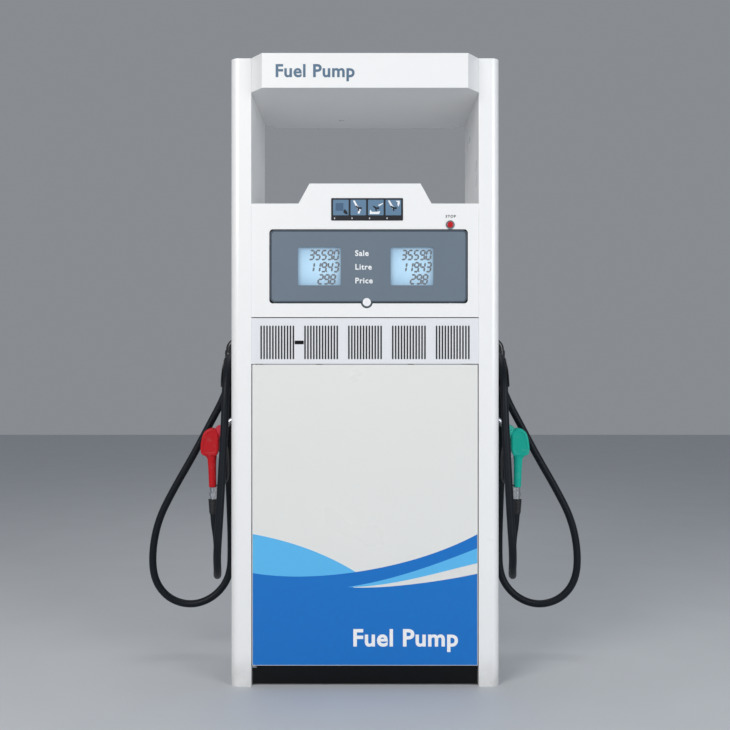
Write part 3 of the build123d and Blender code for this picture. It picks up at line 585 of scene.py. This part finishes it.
def backlight():
    """A light-blue glow, brighter in the middle of each screen than at its edges; the glow is the
    backlight, the darker edges are painted shade from the window's recess.
    """
    paint = Paint("backlight")
    x = paint.axis("X").math("ABSOLUTE") - 0.155
    z = paint.axis("Z") - 1.405
    far = ((x * x) * 110.0 + (z * z) * 190.0).math("MINIMUM", 1.0)
    # the darkening towards each screen's edges is painted shade of the recess round it
    glow = paint.mix(far, shade(168, 206, 228), shade(126, 168, 198))
    return paint.finish({"Base Color": glow, "Roughness": 0.35, "Emission Color": glow,
                         "Emission Strength": 0.3})


def circuit_board():
    """Green solder mask over copper tracks that run across it in steps."""
    paint = Paint("circuit_board")
    tracks = paint.node("ShaderNodeTexBrick", {"offset": 0.5}, {
        "Vector": paint.node("ShaderNodeMapping", None, {
            "Vector": paint.place(), "Rotation": (pi / 2, 0, 0)}),
        "Color1": (0, 0, 0, 1), "Color2": (0.3, 0.3, 0.3, 1), "Mortar": (1, 1, 1, 1),
        "Scale": 60.0, "Mortar Size": 0.03})
    return paint.finish({"Base Color": paint.mix(tracks, shade(22, 74, 44), shade(70, 130, 80)),
                         "Roughness": 0.35, "Normal": paint.bump(tracks, 0.00005)})


coat(circuit_board(), "display_boards")
glow = backlight()
figure_ink = enamel("figure_ink", shade(4, 30, 50), 0.5)
screen_front = -0.2166
window_centres = (-0.153, 0.157)
figure_height, figure_width, figure_pitch, stroke = 0.030, 0.0140, 0.0205, 0.0058
slant = 0.14
segments_of = {"0": "abcdef", "1": "bc", "2": "abged", "3": "abgcd", "4": "fgbc", "5": "afgcd",
               "8": "abcdefg", "9": "abcdfg"}
# each segment as its two ends, in shares of a figure's width and height
segment_ends = {"a": ((0, 1), (1, 1)), "b": ((1, 1), (1, 0.5)), "c": ((1, 0.5), (1, 0)),
                "d": ((0, 0), (1, 0)), "e": ((0, 0.5), (0, 0)), "f": ((0, 1), (0, 0.5)),
                "g": ((0, 0.5), (1, 0.5))}


def segment(start, end):
    """A bar with pointed ends: the six points round the line from start to end."""
    start, end = np.array(start), np.array(end)
    along = (end - start) / np.linalg.norm(end - start)
    beside = np.array((-along[1], along[0])) * stroke / 2
    start, end = start + along * 0.0004, end - along * 0.0004
    inner, outer = start + along * stroke / 2, end - along * stroke / 2
    return np.array((start, inner + beside, outer + beside, end, outer - beside, inner - beside))


def figures(text, right, baseline):
    """Seven-segment figures that end at right, as slanted outlines, with round decimal points."""
    outlines = []
    place = right - figure_width
    for position in range(len(text) - 1, -1, -1):
        if text[position] == ".":
            outlines.append(rounded(place + figure_pitch - 0.0034, baseline + 0.001, 0.0044,
                                    0.0044, 0.0018, 3))
            continue
        for letter in segments_of[text[position]]:
            ends = np.array(segment_ends[letter]) * (figure_width, figure_height)
            bar = segment(*ends) + (place, baseline)
            bar[:, 0] += (bar[:, 1] - baseline) * slant
            outlines.append(bar)
        place -= figure_pitch
    return outlines


for face, turn in faces:
    screens = [rounded(x, 1.405, 0.148, 0.132, 0.002, 3) for x in window_centres]
    lit = prisms(face + "_screens", screens, screen_front, 0.0005, glow, turn)
    place_on(lit)
    lines = [outline for x in window_centres for text, right, baseline in (
        ("3559.0", 0.0615, 1.4290), ("119.43", 0.0615, 1.3882), ("29.8", 0.0500, 1.3474))
        for outline in figures(text, x + right, baseline)]
    shown = prisms(face + "_figures", lines, screen_front - 0.0003, 0.0003, figure_ink, turn)
    place_on(shown)

# -------------------- grille bands
# A white steel band with five groups of louvre slots lies across each face. A black wire screen
# lies behind it as painted shade for the dark slots, a pressed bead above each group, and a black
# infrared window in front.


def insect_screen():
    """Black woven wire, its black painted shade for the dark inside of the slots: two crossing waves
    of wires, one over the other.
    """
    paint = Paint("insect_screen")
    wires = [paint.node("ShaderNodeTexWave", {"bands_direction": letter}, {
        "Vector": paint.place(), "Scale": 260.0}) for letter in "XZ"]
    weave = wires[0].math("MAXIMUM", wires[1])
    return paint.finish({"Base Color": paint.mix(weave, shade(16, 17, 20), shade(40, 42, 46)),
                         "Roughness": 0.6, "Normal": paint.bump(weave, 0.0002)})


band_white = powder_coat("band_powder_coat", shade(232, 233, 237))
coat(band_white, "front_grille_panel", "rear_grille_panel")
coat(enamel("infrared_black", shade(12, 12, 14), 0.12), "infrared_ports")
shade_screen_wire = insect_screen()
band_low, band_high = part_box("front_grille_panel")
group_pitch, slot_length = 0.1467, 0.113
slot_middle = (band_low.z + band_high.z) / 2 - 0.005
for face, turn in faces:
    # the black screen behind the slots is painted shade for the dark inside of the band
    shade_screen_plate = prisms(face + "_insect_screen",
                          [rounded(0, slot_middle, 0.73, 0.128, 0.004, 3)],
                          band_high.y + 0.0006, 0.0008, shade_screen_wire, turn)
    place_on(shade_screen_plate)
    for group in range(5):
        middle = (group - 2) * group_pitch
        x = np.linspace(-0.0565, 0.0565, 114)
        angle = np.linspace(0, 2 * pi, 12, endpoint=False)
        # a bead that swells into a dot every 5 mm: radius = 0.6 mm + 0.5 mm sin^2
        radius = 0.0006 + 0.0005 * np.sin(pi * x / 0.005) ** 2
        bead = np.stack((
            np.broadcast_to((middle + x)[:, None], (len(x), 12)) * turn,
            (band_low.y - radius[:, None] * 0.5 * np.sin(angle)) * turn,
            slot_middle + slot_length / 2 + 0.0055 + radius[:, None] * np.cos(angle)), axis=-1)
        lip = faces_out(grid_mesh(f"{face}_louvre_bead_{group + 1}", bead, band_white))
        place_on(lip)

# -------------------- lower doors
# Each door is a steel pan, hung on pins at its left edge and coated warm grey. Blue films in
# long waves cover its lower half, and a plain word in white film lies on them.


def through(*points):
    """The polynomial that passes through the points, as a function of x."""
    x, z = np.array(points).T
    return np.poly1d(np.polyfit(x, z, len(points) - 1))


def flat_faced(piece):
    """Shades each face flat, for pieces with sharp edges."""
    smooth = np.zeros(len(piece.data.polygons), dtype=bool)
    piece.data.polygons.foreach_set("use_smooth", smooth)
    return piece


def wave(name, start, end, low, high, front, thickness, material, turn):
    """A film between two curves: the rectangle from low(x) to high(x) carried along x."""
    x = np.linspace(start, end, 90)
    bottom, top = low(x), np.maximum(high(x), low(x) + 0.0003)
    edges = ((front, bottom), (front, top), (front + thickness, top), (front + thickness, bottom))
    ring = np.stack([np.stack((x * turn, np.full_like(x, depth * turn), z), axis=1)
                     for depth, z in edges], axis=1)
    piece = grid_mesh(name, ring, material)
    return flat_faced(faces_out(piece))


door_paint = powder_coat("door_powder_coat", shade(232, 232, 229), 0.05)
light_blue = film("light_blue_film", shade(92, 188, 242))
deep_blue = film("deep_blue_film", shade(0, 114, 200))
grey_film = film("grey_film", shade(231, 231, 228))
white_film = film("white_film", shade(250, 250, 250))
coat(door_paint, "front_lower_door", "rear_lower_door")
pan_low, pan_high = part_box("front_lower_door")
left_end, right_end = pan_low.x + 0.0015, pan_high.x - 0.0015
pan_face = pan_low.y
sea = through((-0.3755, 0.3792), (-0.2183, 0.3676), (-0.0309, 0.3826), (0.2500, 0.4528),
              (0.3771, 0.5097))
shore = through((-0.3755, 0.5097), (-0.2183, 0.4696), (-0.1179, 0.4294), (-0.0309, 0.3826))
crest = through((-0.0590, 0.3324), (0.1162, 0.3709), (0.2500, 0.4144), (0.3771, 0.4629))
trough = through((-0.0590, 0.3322), (0.1162, 0.3508), (0.2500, 0.3809), (0.3771, 0.4127))
keel = through((-0.0590, 0.3320), (0.0400, 0.3318), (0.1162, 0.3374), (0.2500, 0.3542),
               (0.3771, 0.3776))
floor_line = through((-0.4, pan_low.z + 0.0015), (0.4, pan_low.z + 0.0015))
waves = (("deep_wave", left_end, right_end, floor_line, sea, 0.0003, 0.0002, deep_blue),
         ("shore_wave", left_end, -0.0311, sea, shore, 0.0003, 0.0002, light_blue),
         ("crest_wave", -0.0590, right_end, trough, crest, 0.0005, 0.0002, light_blue),
         ("keel_wave", -0.0400, right_end, keel, trough, 0.0005, 0.0002, grey_film))
for face, turn in faces:
    for wave_name, start, end, low, high, stand, thickness, colour in waves:
        laid = wave(face + "_" + wave_name, start, end, low, high, pan_face - stand, thickness,
                    colour, turn)
        place_on(laid, face + "_lower_door")
    big_word = word(face + "_door_word", "Fuel Pump", 0.058, -0.043, 0.1357, pan_face - 0.0005,
                    turn, white_film, 1.06)
    place_on(big_word, face + "_lower_door")

# -------------------- base frame and kick plates
# The base is welded from folded steel, painted dark grey. Gloss black plates close it in front.
coat(powder_coat("base_powder_coat", shade(52, 54, 58)), "base_frame")
coat(enamel("kick_black", shade(6, 6, 7), 0.09, 0.3, 0.25), "kick_plates")
coat(steel, "lower_door_pins", "display_door_pins")

# -------------------- nozzle boots
# Each boot is a moulded pocket of black plastic, let into the side wall behind a flange with
# soft corners. Four screws hold it. A steel lever at its back feels the spout.


def grained_plastic(name, colour, grain_scale=900.0):
    """Black moulded plastic with a leathery grain and paler, rubbed patches."""
    paint = Paint(name)
    grain = paint.node("ShaderNodeTexVoronoi", None, {"Vector": paint.place(),
                                                      "Scale": grain_scale})
    rubbed = paint.noise(16.0, 6.0)
    return paint.finish({
        "Base Color": paint.mix(rubbed * 0.5, colour, scaled(colour, 2.2)),
        "Roughness": 0.5 + rubbed * 0.14,
        "Normal": paint.bump(grain, 0.00008, 0.6)})


black_moulding = grained_plastic("black_moulding", shade(30, 31, 34))
coat(steel, "left_boot_lever", "right_boot_lever")
for side, sign in (("left", -1), ("right", 1)):
    low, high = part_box(side + "_boot")
    middle = ((low.y + high.y) / 2, (low.z + high.z) / 2)
    full = (high.y - low.y, high.z - low.z)
    depth = (high.x - low.x) - 0.0032
    # each ring, down the inside of the pocket and back outside it: how far out it stands, how
    # much it is drawn in from the flange's edge, and its corner radius
    rings = ((0.0003, 0.0000, 0.008), (0.0024, 0.0000, 0.008), (0.0030, 0.0010, 0.007),
             (0.0030, 0.0090, 0.006), (0.0024, 0.0106, 0.006), (0.0000, 0.0110, 0.006),
             (-0.6 * depth, 0.0112, 0.007), (-depth + 0.012, 0.0114, 0.008),
             (-depth + 0.004, 0.0136, 0.010), (-depth + 0.0018, 0.0190, 0.010),
             (-depth + 0.0018, 0.0450, 0.005), (-depth - 0.0005, 0.0430, 0.005),
             (-depth - 0.0005, 0.0170, 0.010), (-depth + 0.004, 0.0110, 0.010),
             (-0.0030, 0.0084, 0.006), (0.0003, 0.0082, 0.006))
    layers = []
    for stand, drawn, corner in rings:
        flat = rounded(*middle, full[0] - 2 * drawn, full[1] - 2 * drawn, corner)
        out = np.full(len(flat), sign * (side_wall + stand))
        layers.append(np.stack((out, flat[:, 0], flat[:, 1]), axis=1))
    boot = faces_out(grid_mesh(side + "_nozzle_boot", np.array(layers + layers[:1]),
                               black_moulding, caps=False))
    place_on(boot)
    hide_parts(side + "_boot")
    # pan-head screws in the flange's corners: a dome, height = 1.4 mm sqrt(1 - r^2)
    share = np.linspace(1, 0, 9)[:-1]
    reach = np.insert(0.0032 * np.sin(share * pi / 2), 0, 0.0032)[:, None]
    rise = np.insert(0.0032 + 0.0014 * np.cos(share * pi / 2), 0, 0.0026)[:, None]
    angle = np.linspace(0, 2 * pi, 20, endpoint=False)
    for number, (dy, dz) in enumerate(((-1, -1), (1, -1), (1, 1), (-1, 1))):
        y, z = middle[0] + dy * (full[0] / 2 - 0.0062), middle[1] + dz * (full[1] / 2 - 0.0062)
        dome = np.stack(np.broadcast_arrays(
            sign * (side_wall + rise), y + reach * np.cos(angle), z + reach * np.sin(angle)),
            axis=-1)
        screw = faces_out(grid_mesh(f"{side}_boot_screw_{number + 1}", dome, chrome))
        place_on(screw)

# -------------------- hose outlets and hangers
# A black painted elbow brings the fuel out of the side wall, and the hose is crimped into its
# end. The hanger is a saddle of bent sheet steel, welded to a back plate and coated black.
black_coat = powder_coat("black_powder_coat", shade(27, 28, 31), 0.02)
coat(black_coat, "left_hose_hanger", "right_hose_hanger", "left_hose_outlet", "right_hose_outlet")


def lathe(name, foot, direction, profile, material, columns=40):
    """A turned piece: rings at the profile's (along, radius) pairs about a line from foot."""
    line = np.array(foot) + np.outer([along for along, _ in profile], direction)
    ring = tube(line, np.array([radius for _, radius in profile]), columns)
    return faces_out(grid_mesh(name, ring, material))


# crimped ferrule: a sleeve with five pressed grooves; along it the radius dips as sin^2
ferrule_length, ferrule_radius = 0.042, 0.0162
share = np.linspace(0, 1, 61)
grooves = 0.0009 * np.sin(share * pi * 5) ** 2 * (share > 0.1) * (share < 0.9)
ends = 0.0016 * np.clip((np.abs(share - 0.5) - 0.46) / 0.04, 0, 1) ** 2
ferrule = list(zip((share * ferrule_length).tolist(),
                   (ferrule_radius - grooves - ends).tolist()))
for side, sign in (("left", -1), ("right", 1)):
    top = hose_lines[side][0]
    crimp = lathe(side + "_hose_ferrule", top + np.array((0, 0, 0.004)), (0, 0, -1), ferrule,
                  black_coat)
    place_on(crimp)

# -------------------- nozzles
# Each nozzle is a cast aluminium valve body with a soft moulded jacket, red on the left and
# sea green on the right. A black guard bends round the black lever, a pleated splash collar
# closes the neck, and a swivel joins the nozzle to the hose, whose end a ribbed sleeve guards.
nozzle_y = 0.090


def jacket_skin(name, colour):
    """Soft matt vinyl: a fine grain and scuffs that are paler."""
    paint = Paint(name)
    grain = paint.noise(800.0, 3.0)
    scuffs = (paint.noise(45.0, 6.0) > 0.60) * paint.noise(260.0, 2.0)
    worn = paint.mix(scuffs * 0.2, colour, tuple(0.6 * p + 0.25 for p in colour[:3]) + (1.0,))
    return paint.finish({"Base Color": worn, "Specular IOR Level": 0.3,
                         "Roughness": 0.42 + scuffs * 0.2 + grain * 0.06,
                         "Normal": paint.bump(grain, 0.00008, 0.6)})


def smooth_through(stations, values, at):
    """Values at each height, through the stations by straight steps that are then evened out."""
    steps = np.interp(at, stations, values)
    kernel = np.hanning(9) / np.hanning(9).sum()
    return np.convolve(np.pad(steps, 4, mode="edge"), kernel, mode="valid")


def superellipse(angle, power):
    """The closed curve |x|^power + |y|^power = 1 at each angle."""
    x, y = np.cos(angle), np.sin(angle)
    return (np.sign(x) * np.abs(x) ** (2 / power), np.sign(y) * np.abs(y) ** (2 / power))


def grip_cover(name, sign, material):
    """Rings up the handle: |x|^p + |y|^p = 1 stretched between its inner and outer outlines,
    whose distances from the wall follow the height; it flares into the underside of the head."""
    z = np.linspace(0.6290, 0.7700, 110)
    inner = smooth_through((0.629, 0.700, 0.732, 0.744, 0.754, 0.770),
                           (0.0935, 0.0945, 0.0940, 0.0915, 0.0865, 0.0860), z)
    outer = smooth_through((0.629, 0.700, 0.732, 0.742, 0.750, 0.770),
                           (0.1205, 0.1235, 0.1260, 0.1330, 0.1440, 0.1440), z)
    thick = smooth_through((0.629, 0.720, 0.740, 0.756, 0.770),
                           (0.0135, 0.0155, 0.0180, 0.0215, 0.0215), z)
    power = smooth_through((0.629, 0.735, 0.760), (2.0, 2.2, 3.6), z)[:, None]
    angle = np.linspace(0, 2 * pi, 56, endpoint=False)[None]
    wide, deep = superellipse(angle, power)
    out = (inner + outer)[:, None] / 2 + (outer - inner)[:, None] / 2 * wide
    ring = np.stack((sign * (side_wall + out), nozzle_y + thick[:, None] * deep,
                     np.broadcast_to(z[:, None], out.shape)), axis=-1)
    return faces_out(grid_mesh(name, ring, material))


head_points = ((127, 742), (143, 747), (149, 757), (149, 785), (141, 824), (128, 839),
               (112, 846), (96, 843), (83, 831), (82, 800), (84, 753), (94, 742))


def head_cover(name, sign, material):
    """The head: its outline with cut corners, drawn in by 7 (1 - cos a) mm while the side
    comes out by 7 sin a mm, then flat, with a sunken field for a label on each side."""
    flat = np.array(head_points) / 1000
    for _ in range(3):
        after = np.roll(flat, -1, axis=0)
        flat = np.stack((0.75 * flat + 0.25 * after, 0.25 * flat + 0.75 * after),
                        axis=1).reshape(-1, 2)
    middle = flat.mean(axis=0)
    reach = np.linalg.norm(flat - middle, axis=1)
    angle = np.linspace(0, pi / 2, 9)
    # each ring: how far the side stands out, how far the outline is drawn in, and a share of it
    edge = [(0.0160 + 0.0070 * np.sin(a), 0.0070 * (1 - np.cos(a)), 1.0) for a in angle]
    field = [(0.0230, 0.0070, 0.92), (0.0230, 0.0070, 0.85), (0.0222, 0.0070, 0.825),
             (0.0222, 0.0070, 0.80), (0.0222, 0.0070, 0.40), (0.0222, 0.0070, 0.05)]
    rings = [(-y, drawn, share) for y, drawn, share in (edge + field)[::-1]] + edge + field
    layers = []
    for y, drawn, share in rings:
        near = middle + (flat - middle) * (share * (1 - drawn / reach))[:, None]
        layers.append(np.stack((sign * (side_wall + near[:, 0]), np.full(len(near), nozzle_y + y),
                                near[:, 1]), axis=1))
    return faces_out(grid_mesh(name, np.array(layers), material))


def strap(name, sign, points, power, half_wide, half_thick, material):
    """A flat bar with round edges, carried along a smooth line in the nozzle's middle plane."""
    line = spaced(line_of([(sign * (side_wall + out), nozzle_y, z) for out, z in points]), 0.003)
    along = np.gradient(line, axis=0)
    along /= np.linalg.norm(along, axis=1, keepdims=True)
    beside = np.array((0.0, 1.0, 0.0))
    across = np.cross(along, beside)
    angle = np.linspace(0, 2 * pi, 28, endpoint=False)
    u, v = superellipse(angle, power)
    ring = (line[:, None] + half_wide * u[None, :, None] * beside
            + half_thick * v[None, :, None] * across[:, None])
    return faces_out(grid_mesh(name, ring, material))


cast = turned_metal("cast_aluminium", shade(178, 180, 184), 0.34, 60.0)
spout_metal = turned_metal("spout_metal", shade(196, 198, 202), 0.22)
black_nylon = grained_plastic("black_nylon", shade(24, 25, 28), 1400.0)
sleeve_rubber = grained_plastic("sleeve_rubber", shade(20, 21, 24), 1100.0)
jackets = {"left": jacket_skin("red_jacket", shade(200, 16, 28)),
           "right": jacket_skin("green_jacket", shade(0, 184, 162))}
collars = {"left": jacket_skin("red_collar", shade(206, 58, 74)),
           "right": jacket_skin("green_collar", shade(60, 196, 176))}
for side, sign in (("left", -1), ("right", 1)):
    nozzle = side + "_nozzle"
    coat(cast, nozzle + "_body")
    coat(spout_metal, nozzle + "_spout")
    coat(chrome, nozzle + "_swivel")
    grip = grip_cover(side + "_grip_cover", sign, jackets[side])
    place_on(grip, nozzle)
    cover = head_cover(side + "_head_cover", sign, jackets[side])
    place_on(cover, nozzle)
    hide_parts(nozzle + "_jacket")
    guard = strap(side + "_guard", sign,
                  ((0.0860, 0.8020), (0.0640, 0.7960), (0.0530, 0.7700), (0.0500, 0.7300),
                   (0.0500, 0.6800), (0.0520, 0.6500), (0.0700, 0.6375), (0.0960, 0.6340)),
                  4.0, 0.0108, 0.0024, black_nylon)
    place_on(guard, nozzle)
    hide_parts(nozzle + "_guard")
    lever = strap(side + "_lever", sign,
                  ((0.0790, 0.7440), (0.0800, 0.7280), (0.0795, 0.7060), (0.0765, 0.6840),
                   (0.0720, 0.6660), (0.0665, 0.6500)), 3.5, 0.0095, 0.0026, black_nylon)
    place_on(lever, nozzle + "_lever")
    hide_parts(nozzle + "_lever")
    # the lever's axle: a steel pin through both ears
    axle = lathe(side + "_lever_axle", (sign * (side_wall + 0.079), nozzle_y - 0.0165, 0.741),
                 (0, 1, 0), ((0, 0.0029), (0.0330, 0.0029)), steel, 24)
    place_on(axle, nozzle + "_lever")
    # pleated collar: radius = 17.5 mm + taper, with five waves of 1.6 mm along its axis
    share = np.linspace(0, 1, 70)
    pleats = 0.0165 + 0.0045 * np.sin(share * pi) ** 0.6 + 0.0012 * np.cos(share * 2 * pi * 5)
    pleats *= np.clip(share / 0.04, 0.72, 1) * np.clip((1 - share) / 0.04, 0.72, 1)
    slope = np.array((-sign * cos(radians(45)), 0, sin(radians(45))))
    start = np.array((sign * (side_wall + 0.0965), nozzle_y, 0.8170))
    collar = lathe(side + "_splash_collar", start, slope,
                   list(zip((share * 0.040).tolist(), pleats.tolist())), collars[side], 48)
    place_on(collar, nozzle)
    # ribbed sleeve at the hose's end: it tapers from 18.5 mm to 14.4 mm, with nine ribs
    share = np.linspace(0, 1, 120)
    taper = 0.0185 - 0.0041 * share + 0.0009 * np.sin(share * pi * 9) ** 2 * (share < 0.92)
    taper *= np.where((share < 0.01) | (share > 0.99), 0.8, 1)
    end = hose_lines[side][-1]
    sleeve = lathe(side + "_hose_sleeve", end + np.array((0, 0, 0.004)), (0, 0, -1),
                   list(zip((share * 0.055).tolist(), taper.tolist())), sleeve_rubber, 40)
    place_on(sleeve, nozzle + "_swivel")

# -------------------- pump, motor and pipework
# Behind the doors stand a cast-iron pump, a finned electric motor that drives it by a belt, two
# cast flow meters, and the welded pipes that join them. The control box is folded sheet.


def cast_iron():
    """Sand-cast iron under grey primer: coarse skin, darker in the pits."""
    paint = Paint("cast_iron")
    skin = paint.noise(180.0, 6.0)
    return paint.finish({"Base Color": paint.mix(skin, shade(62, 66, 70), shade(98, 102, 106)),
                         "Metallic": 0.3, "Roughness": 0.55 + skin * 0.2,
                         "Normal": paint.bump(skin, 0.0004)})


iron = cast_iron()
motor_paint = powder_coat("motor_paint", shade(84, 100, 112), 0.05)
coat(iron, "pump_unit", "motor_pulley", "pump_pulley")
coat(motor_paint, "motor", "control_box")
coat(cast, "flow_meters")
coat(steel, "suction_pipe", "supply_manifold", "delivery_pipes", "vapour_barrier")
coat(grained_plastic("belt_rubber", shade(34, 34, 36), 500.0), "drive_belt")

# cooling fins round the motor: a ring whose radius rises by 9 mm at each of 30 fins
motor_low, motor_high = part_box("motor")
motor_axis = ((motor_low.x + motor_high.x) / 2, motor_high.z - 0.090)
angle = np.linspace(0, 2 * pi, 30 * 8, endpoint=False)
fin = np.clip(4.0 * np.cos(30 * angle) + 1.2, 0, 1) * 0.009
fin *= (angle > radians(325)) | (angle < radians(215))
stations = np.array((-0.078, -0.077, 0.095, 0.096))
radius = 0.0905 + fin[None] * np.array((0.0, 1.0, 1.0, 0.0))[:, None]
casing = np.stack((motor_axis[0] + radius * np.cos(angle), np.broadcast_to(
    stations[:, None], radius.shape), motor_axis[1] + radius * np.sin(angle)), axis=-1)
fins = grid_mesh("motor_fins", casing, motor_paint)
flat_faced(faces_out(fins))
place_on(fins)


def hexagons(spots, reach):
    """Bolt heads: six points round each spot, reach metres from its middle."""
    angle = np.linspace(0, 2 * pi, 6, endpoint=False)
    ring = np.stack((np.cos(angle), np.sin(angle)), axis=1) * reach
    return [ring + spot for spot in spots]


# the pump's end cover at the back, its bolts on both faces, and the flow meters' covers
pump_centre, pump_front, meter_front = (-0.140, 0.195), -0.100, -0.075
around = [(pump_centre[0] + dx, pump_centre[1] + dz) for dx in (-0.062, 0, 0.062)
          for dz in (-0.128, 0.128)]
bolts_front = prisms("pump_front_bolts", hexagons(around, 0.0085), pump_front - 0.007, 0.0078,
                     steel, 1)
behind = [(-x, z) for x, z in around]
cover = prisms("pump_end_cover", [rounded(-pump_centre[0], pump_centre[1], 0.150, 0.278, 0.018)],
               pump_front - 0.006, 0.0066, iron, -1)
bolts_back = prisms("pump_back_bolts", hexagons(behind, 0.0085), pump_front - 0.013, 0.0078,
                    steel, -1)
for piece, slot in ((bolts_front, "steel"), (cover, "cast_iron"), (bolts_back, "steel")):
    place_on(piece)
for face, turn in faces:
    covers, bolts = [], []
    for x in (-0.170, 0.170):
        covers.append(rounded(x, 0.685, 0.096, 0.150, 0.012))
        bolts += [(x + dx, 0.685 + dz) for dx in (-0.040, 0.040) for dz in (-0.066, 0, 0.066)]
    lids = prisms(face + "_meter_covers", covers, meter_front - 0.005, 0.0056, cast, turn)
    heads = prisms(face + "_meter_bolts", hexagons(bolts, 0.0058), meter_front - 0.009, 0.0046,
                   steel, turn)
    for piece, slot in ((lids, "aluminium"), (heads, "steel")):
        place_on(piece)

# -------------------- floor and light
# A pale floor, a large soft light from the front left, a smaller one from the right, and one
# from above that draws the upper edges.
floor_mesh = bpy.data.meshes.new("floor")
floor_mesh.from_pydata([(-12, -12, 0), (12, -12, 0), (12, 12, 0), (-12, 12, 0)], [], [(0, 1, 2, 3)])
stone = Paint("pale_floor")
floor_mesh.materials.append(stone.finish({
    "Base Color": stone.mix(stone.noise(3.0, 6.0), shade(206, 209, 213), shade(198, 201, 205)),
    "Roughness": 0.6}))
floor = bpy.data.objects.new("floor", floor_mesh)
bpy.context.scene.collection.objects.link(floor)

world = bpy.data.worlds.new("studio")
world.use_nodes = True
sky = world.node_tree.nodes["Background"]
sky.inputs["Color"].default_value = shade(222, 228, 236)
sky.inputs["Strength"].default_value = 0.34
bpy.context.scene.world = world
for name, place, aim, size, power, colour in (
        ("key", (-2.6, -4.2, 3.2), (0, 0, 1.0), 2.6, 142, (1.0, 0.985, 0.96)),
        ("fill", (3.2, -3.6, 2.2), (0, 0, 1.0), 2.4, 92, (0.95, 0.975, 1.0)),
        ("top", (0.0, 1.4, 5.0), (0, 0, 1.2), 2.4, 40, (1.0, 1.0, 1.0))):
    lamp_data = bpy.data.lights.new(name, "AREA")
    lamp_data.energy = power
    lamp_data.size = size
    lamp_data.color = colour
    lamp = bpy.data.objects.new(name, lamp_data)
    away = np.array(place) - np.array(aim)
    flat = float(np.hypot(away[0], away[1]))
    lamp.location = place
    lamp.rotation_euler = (float(np.arctan2(flat, away[2])), 0,
                           float(np.arctan2(away[1], away[0])) + pi / 2)
    bpy.context.scene.collection.objects.link(lamp)
bpy.context.scene.view_settings.view_transform = "Standard"
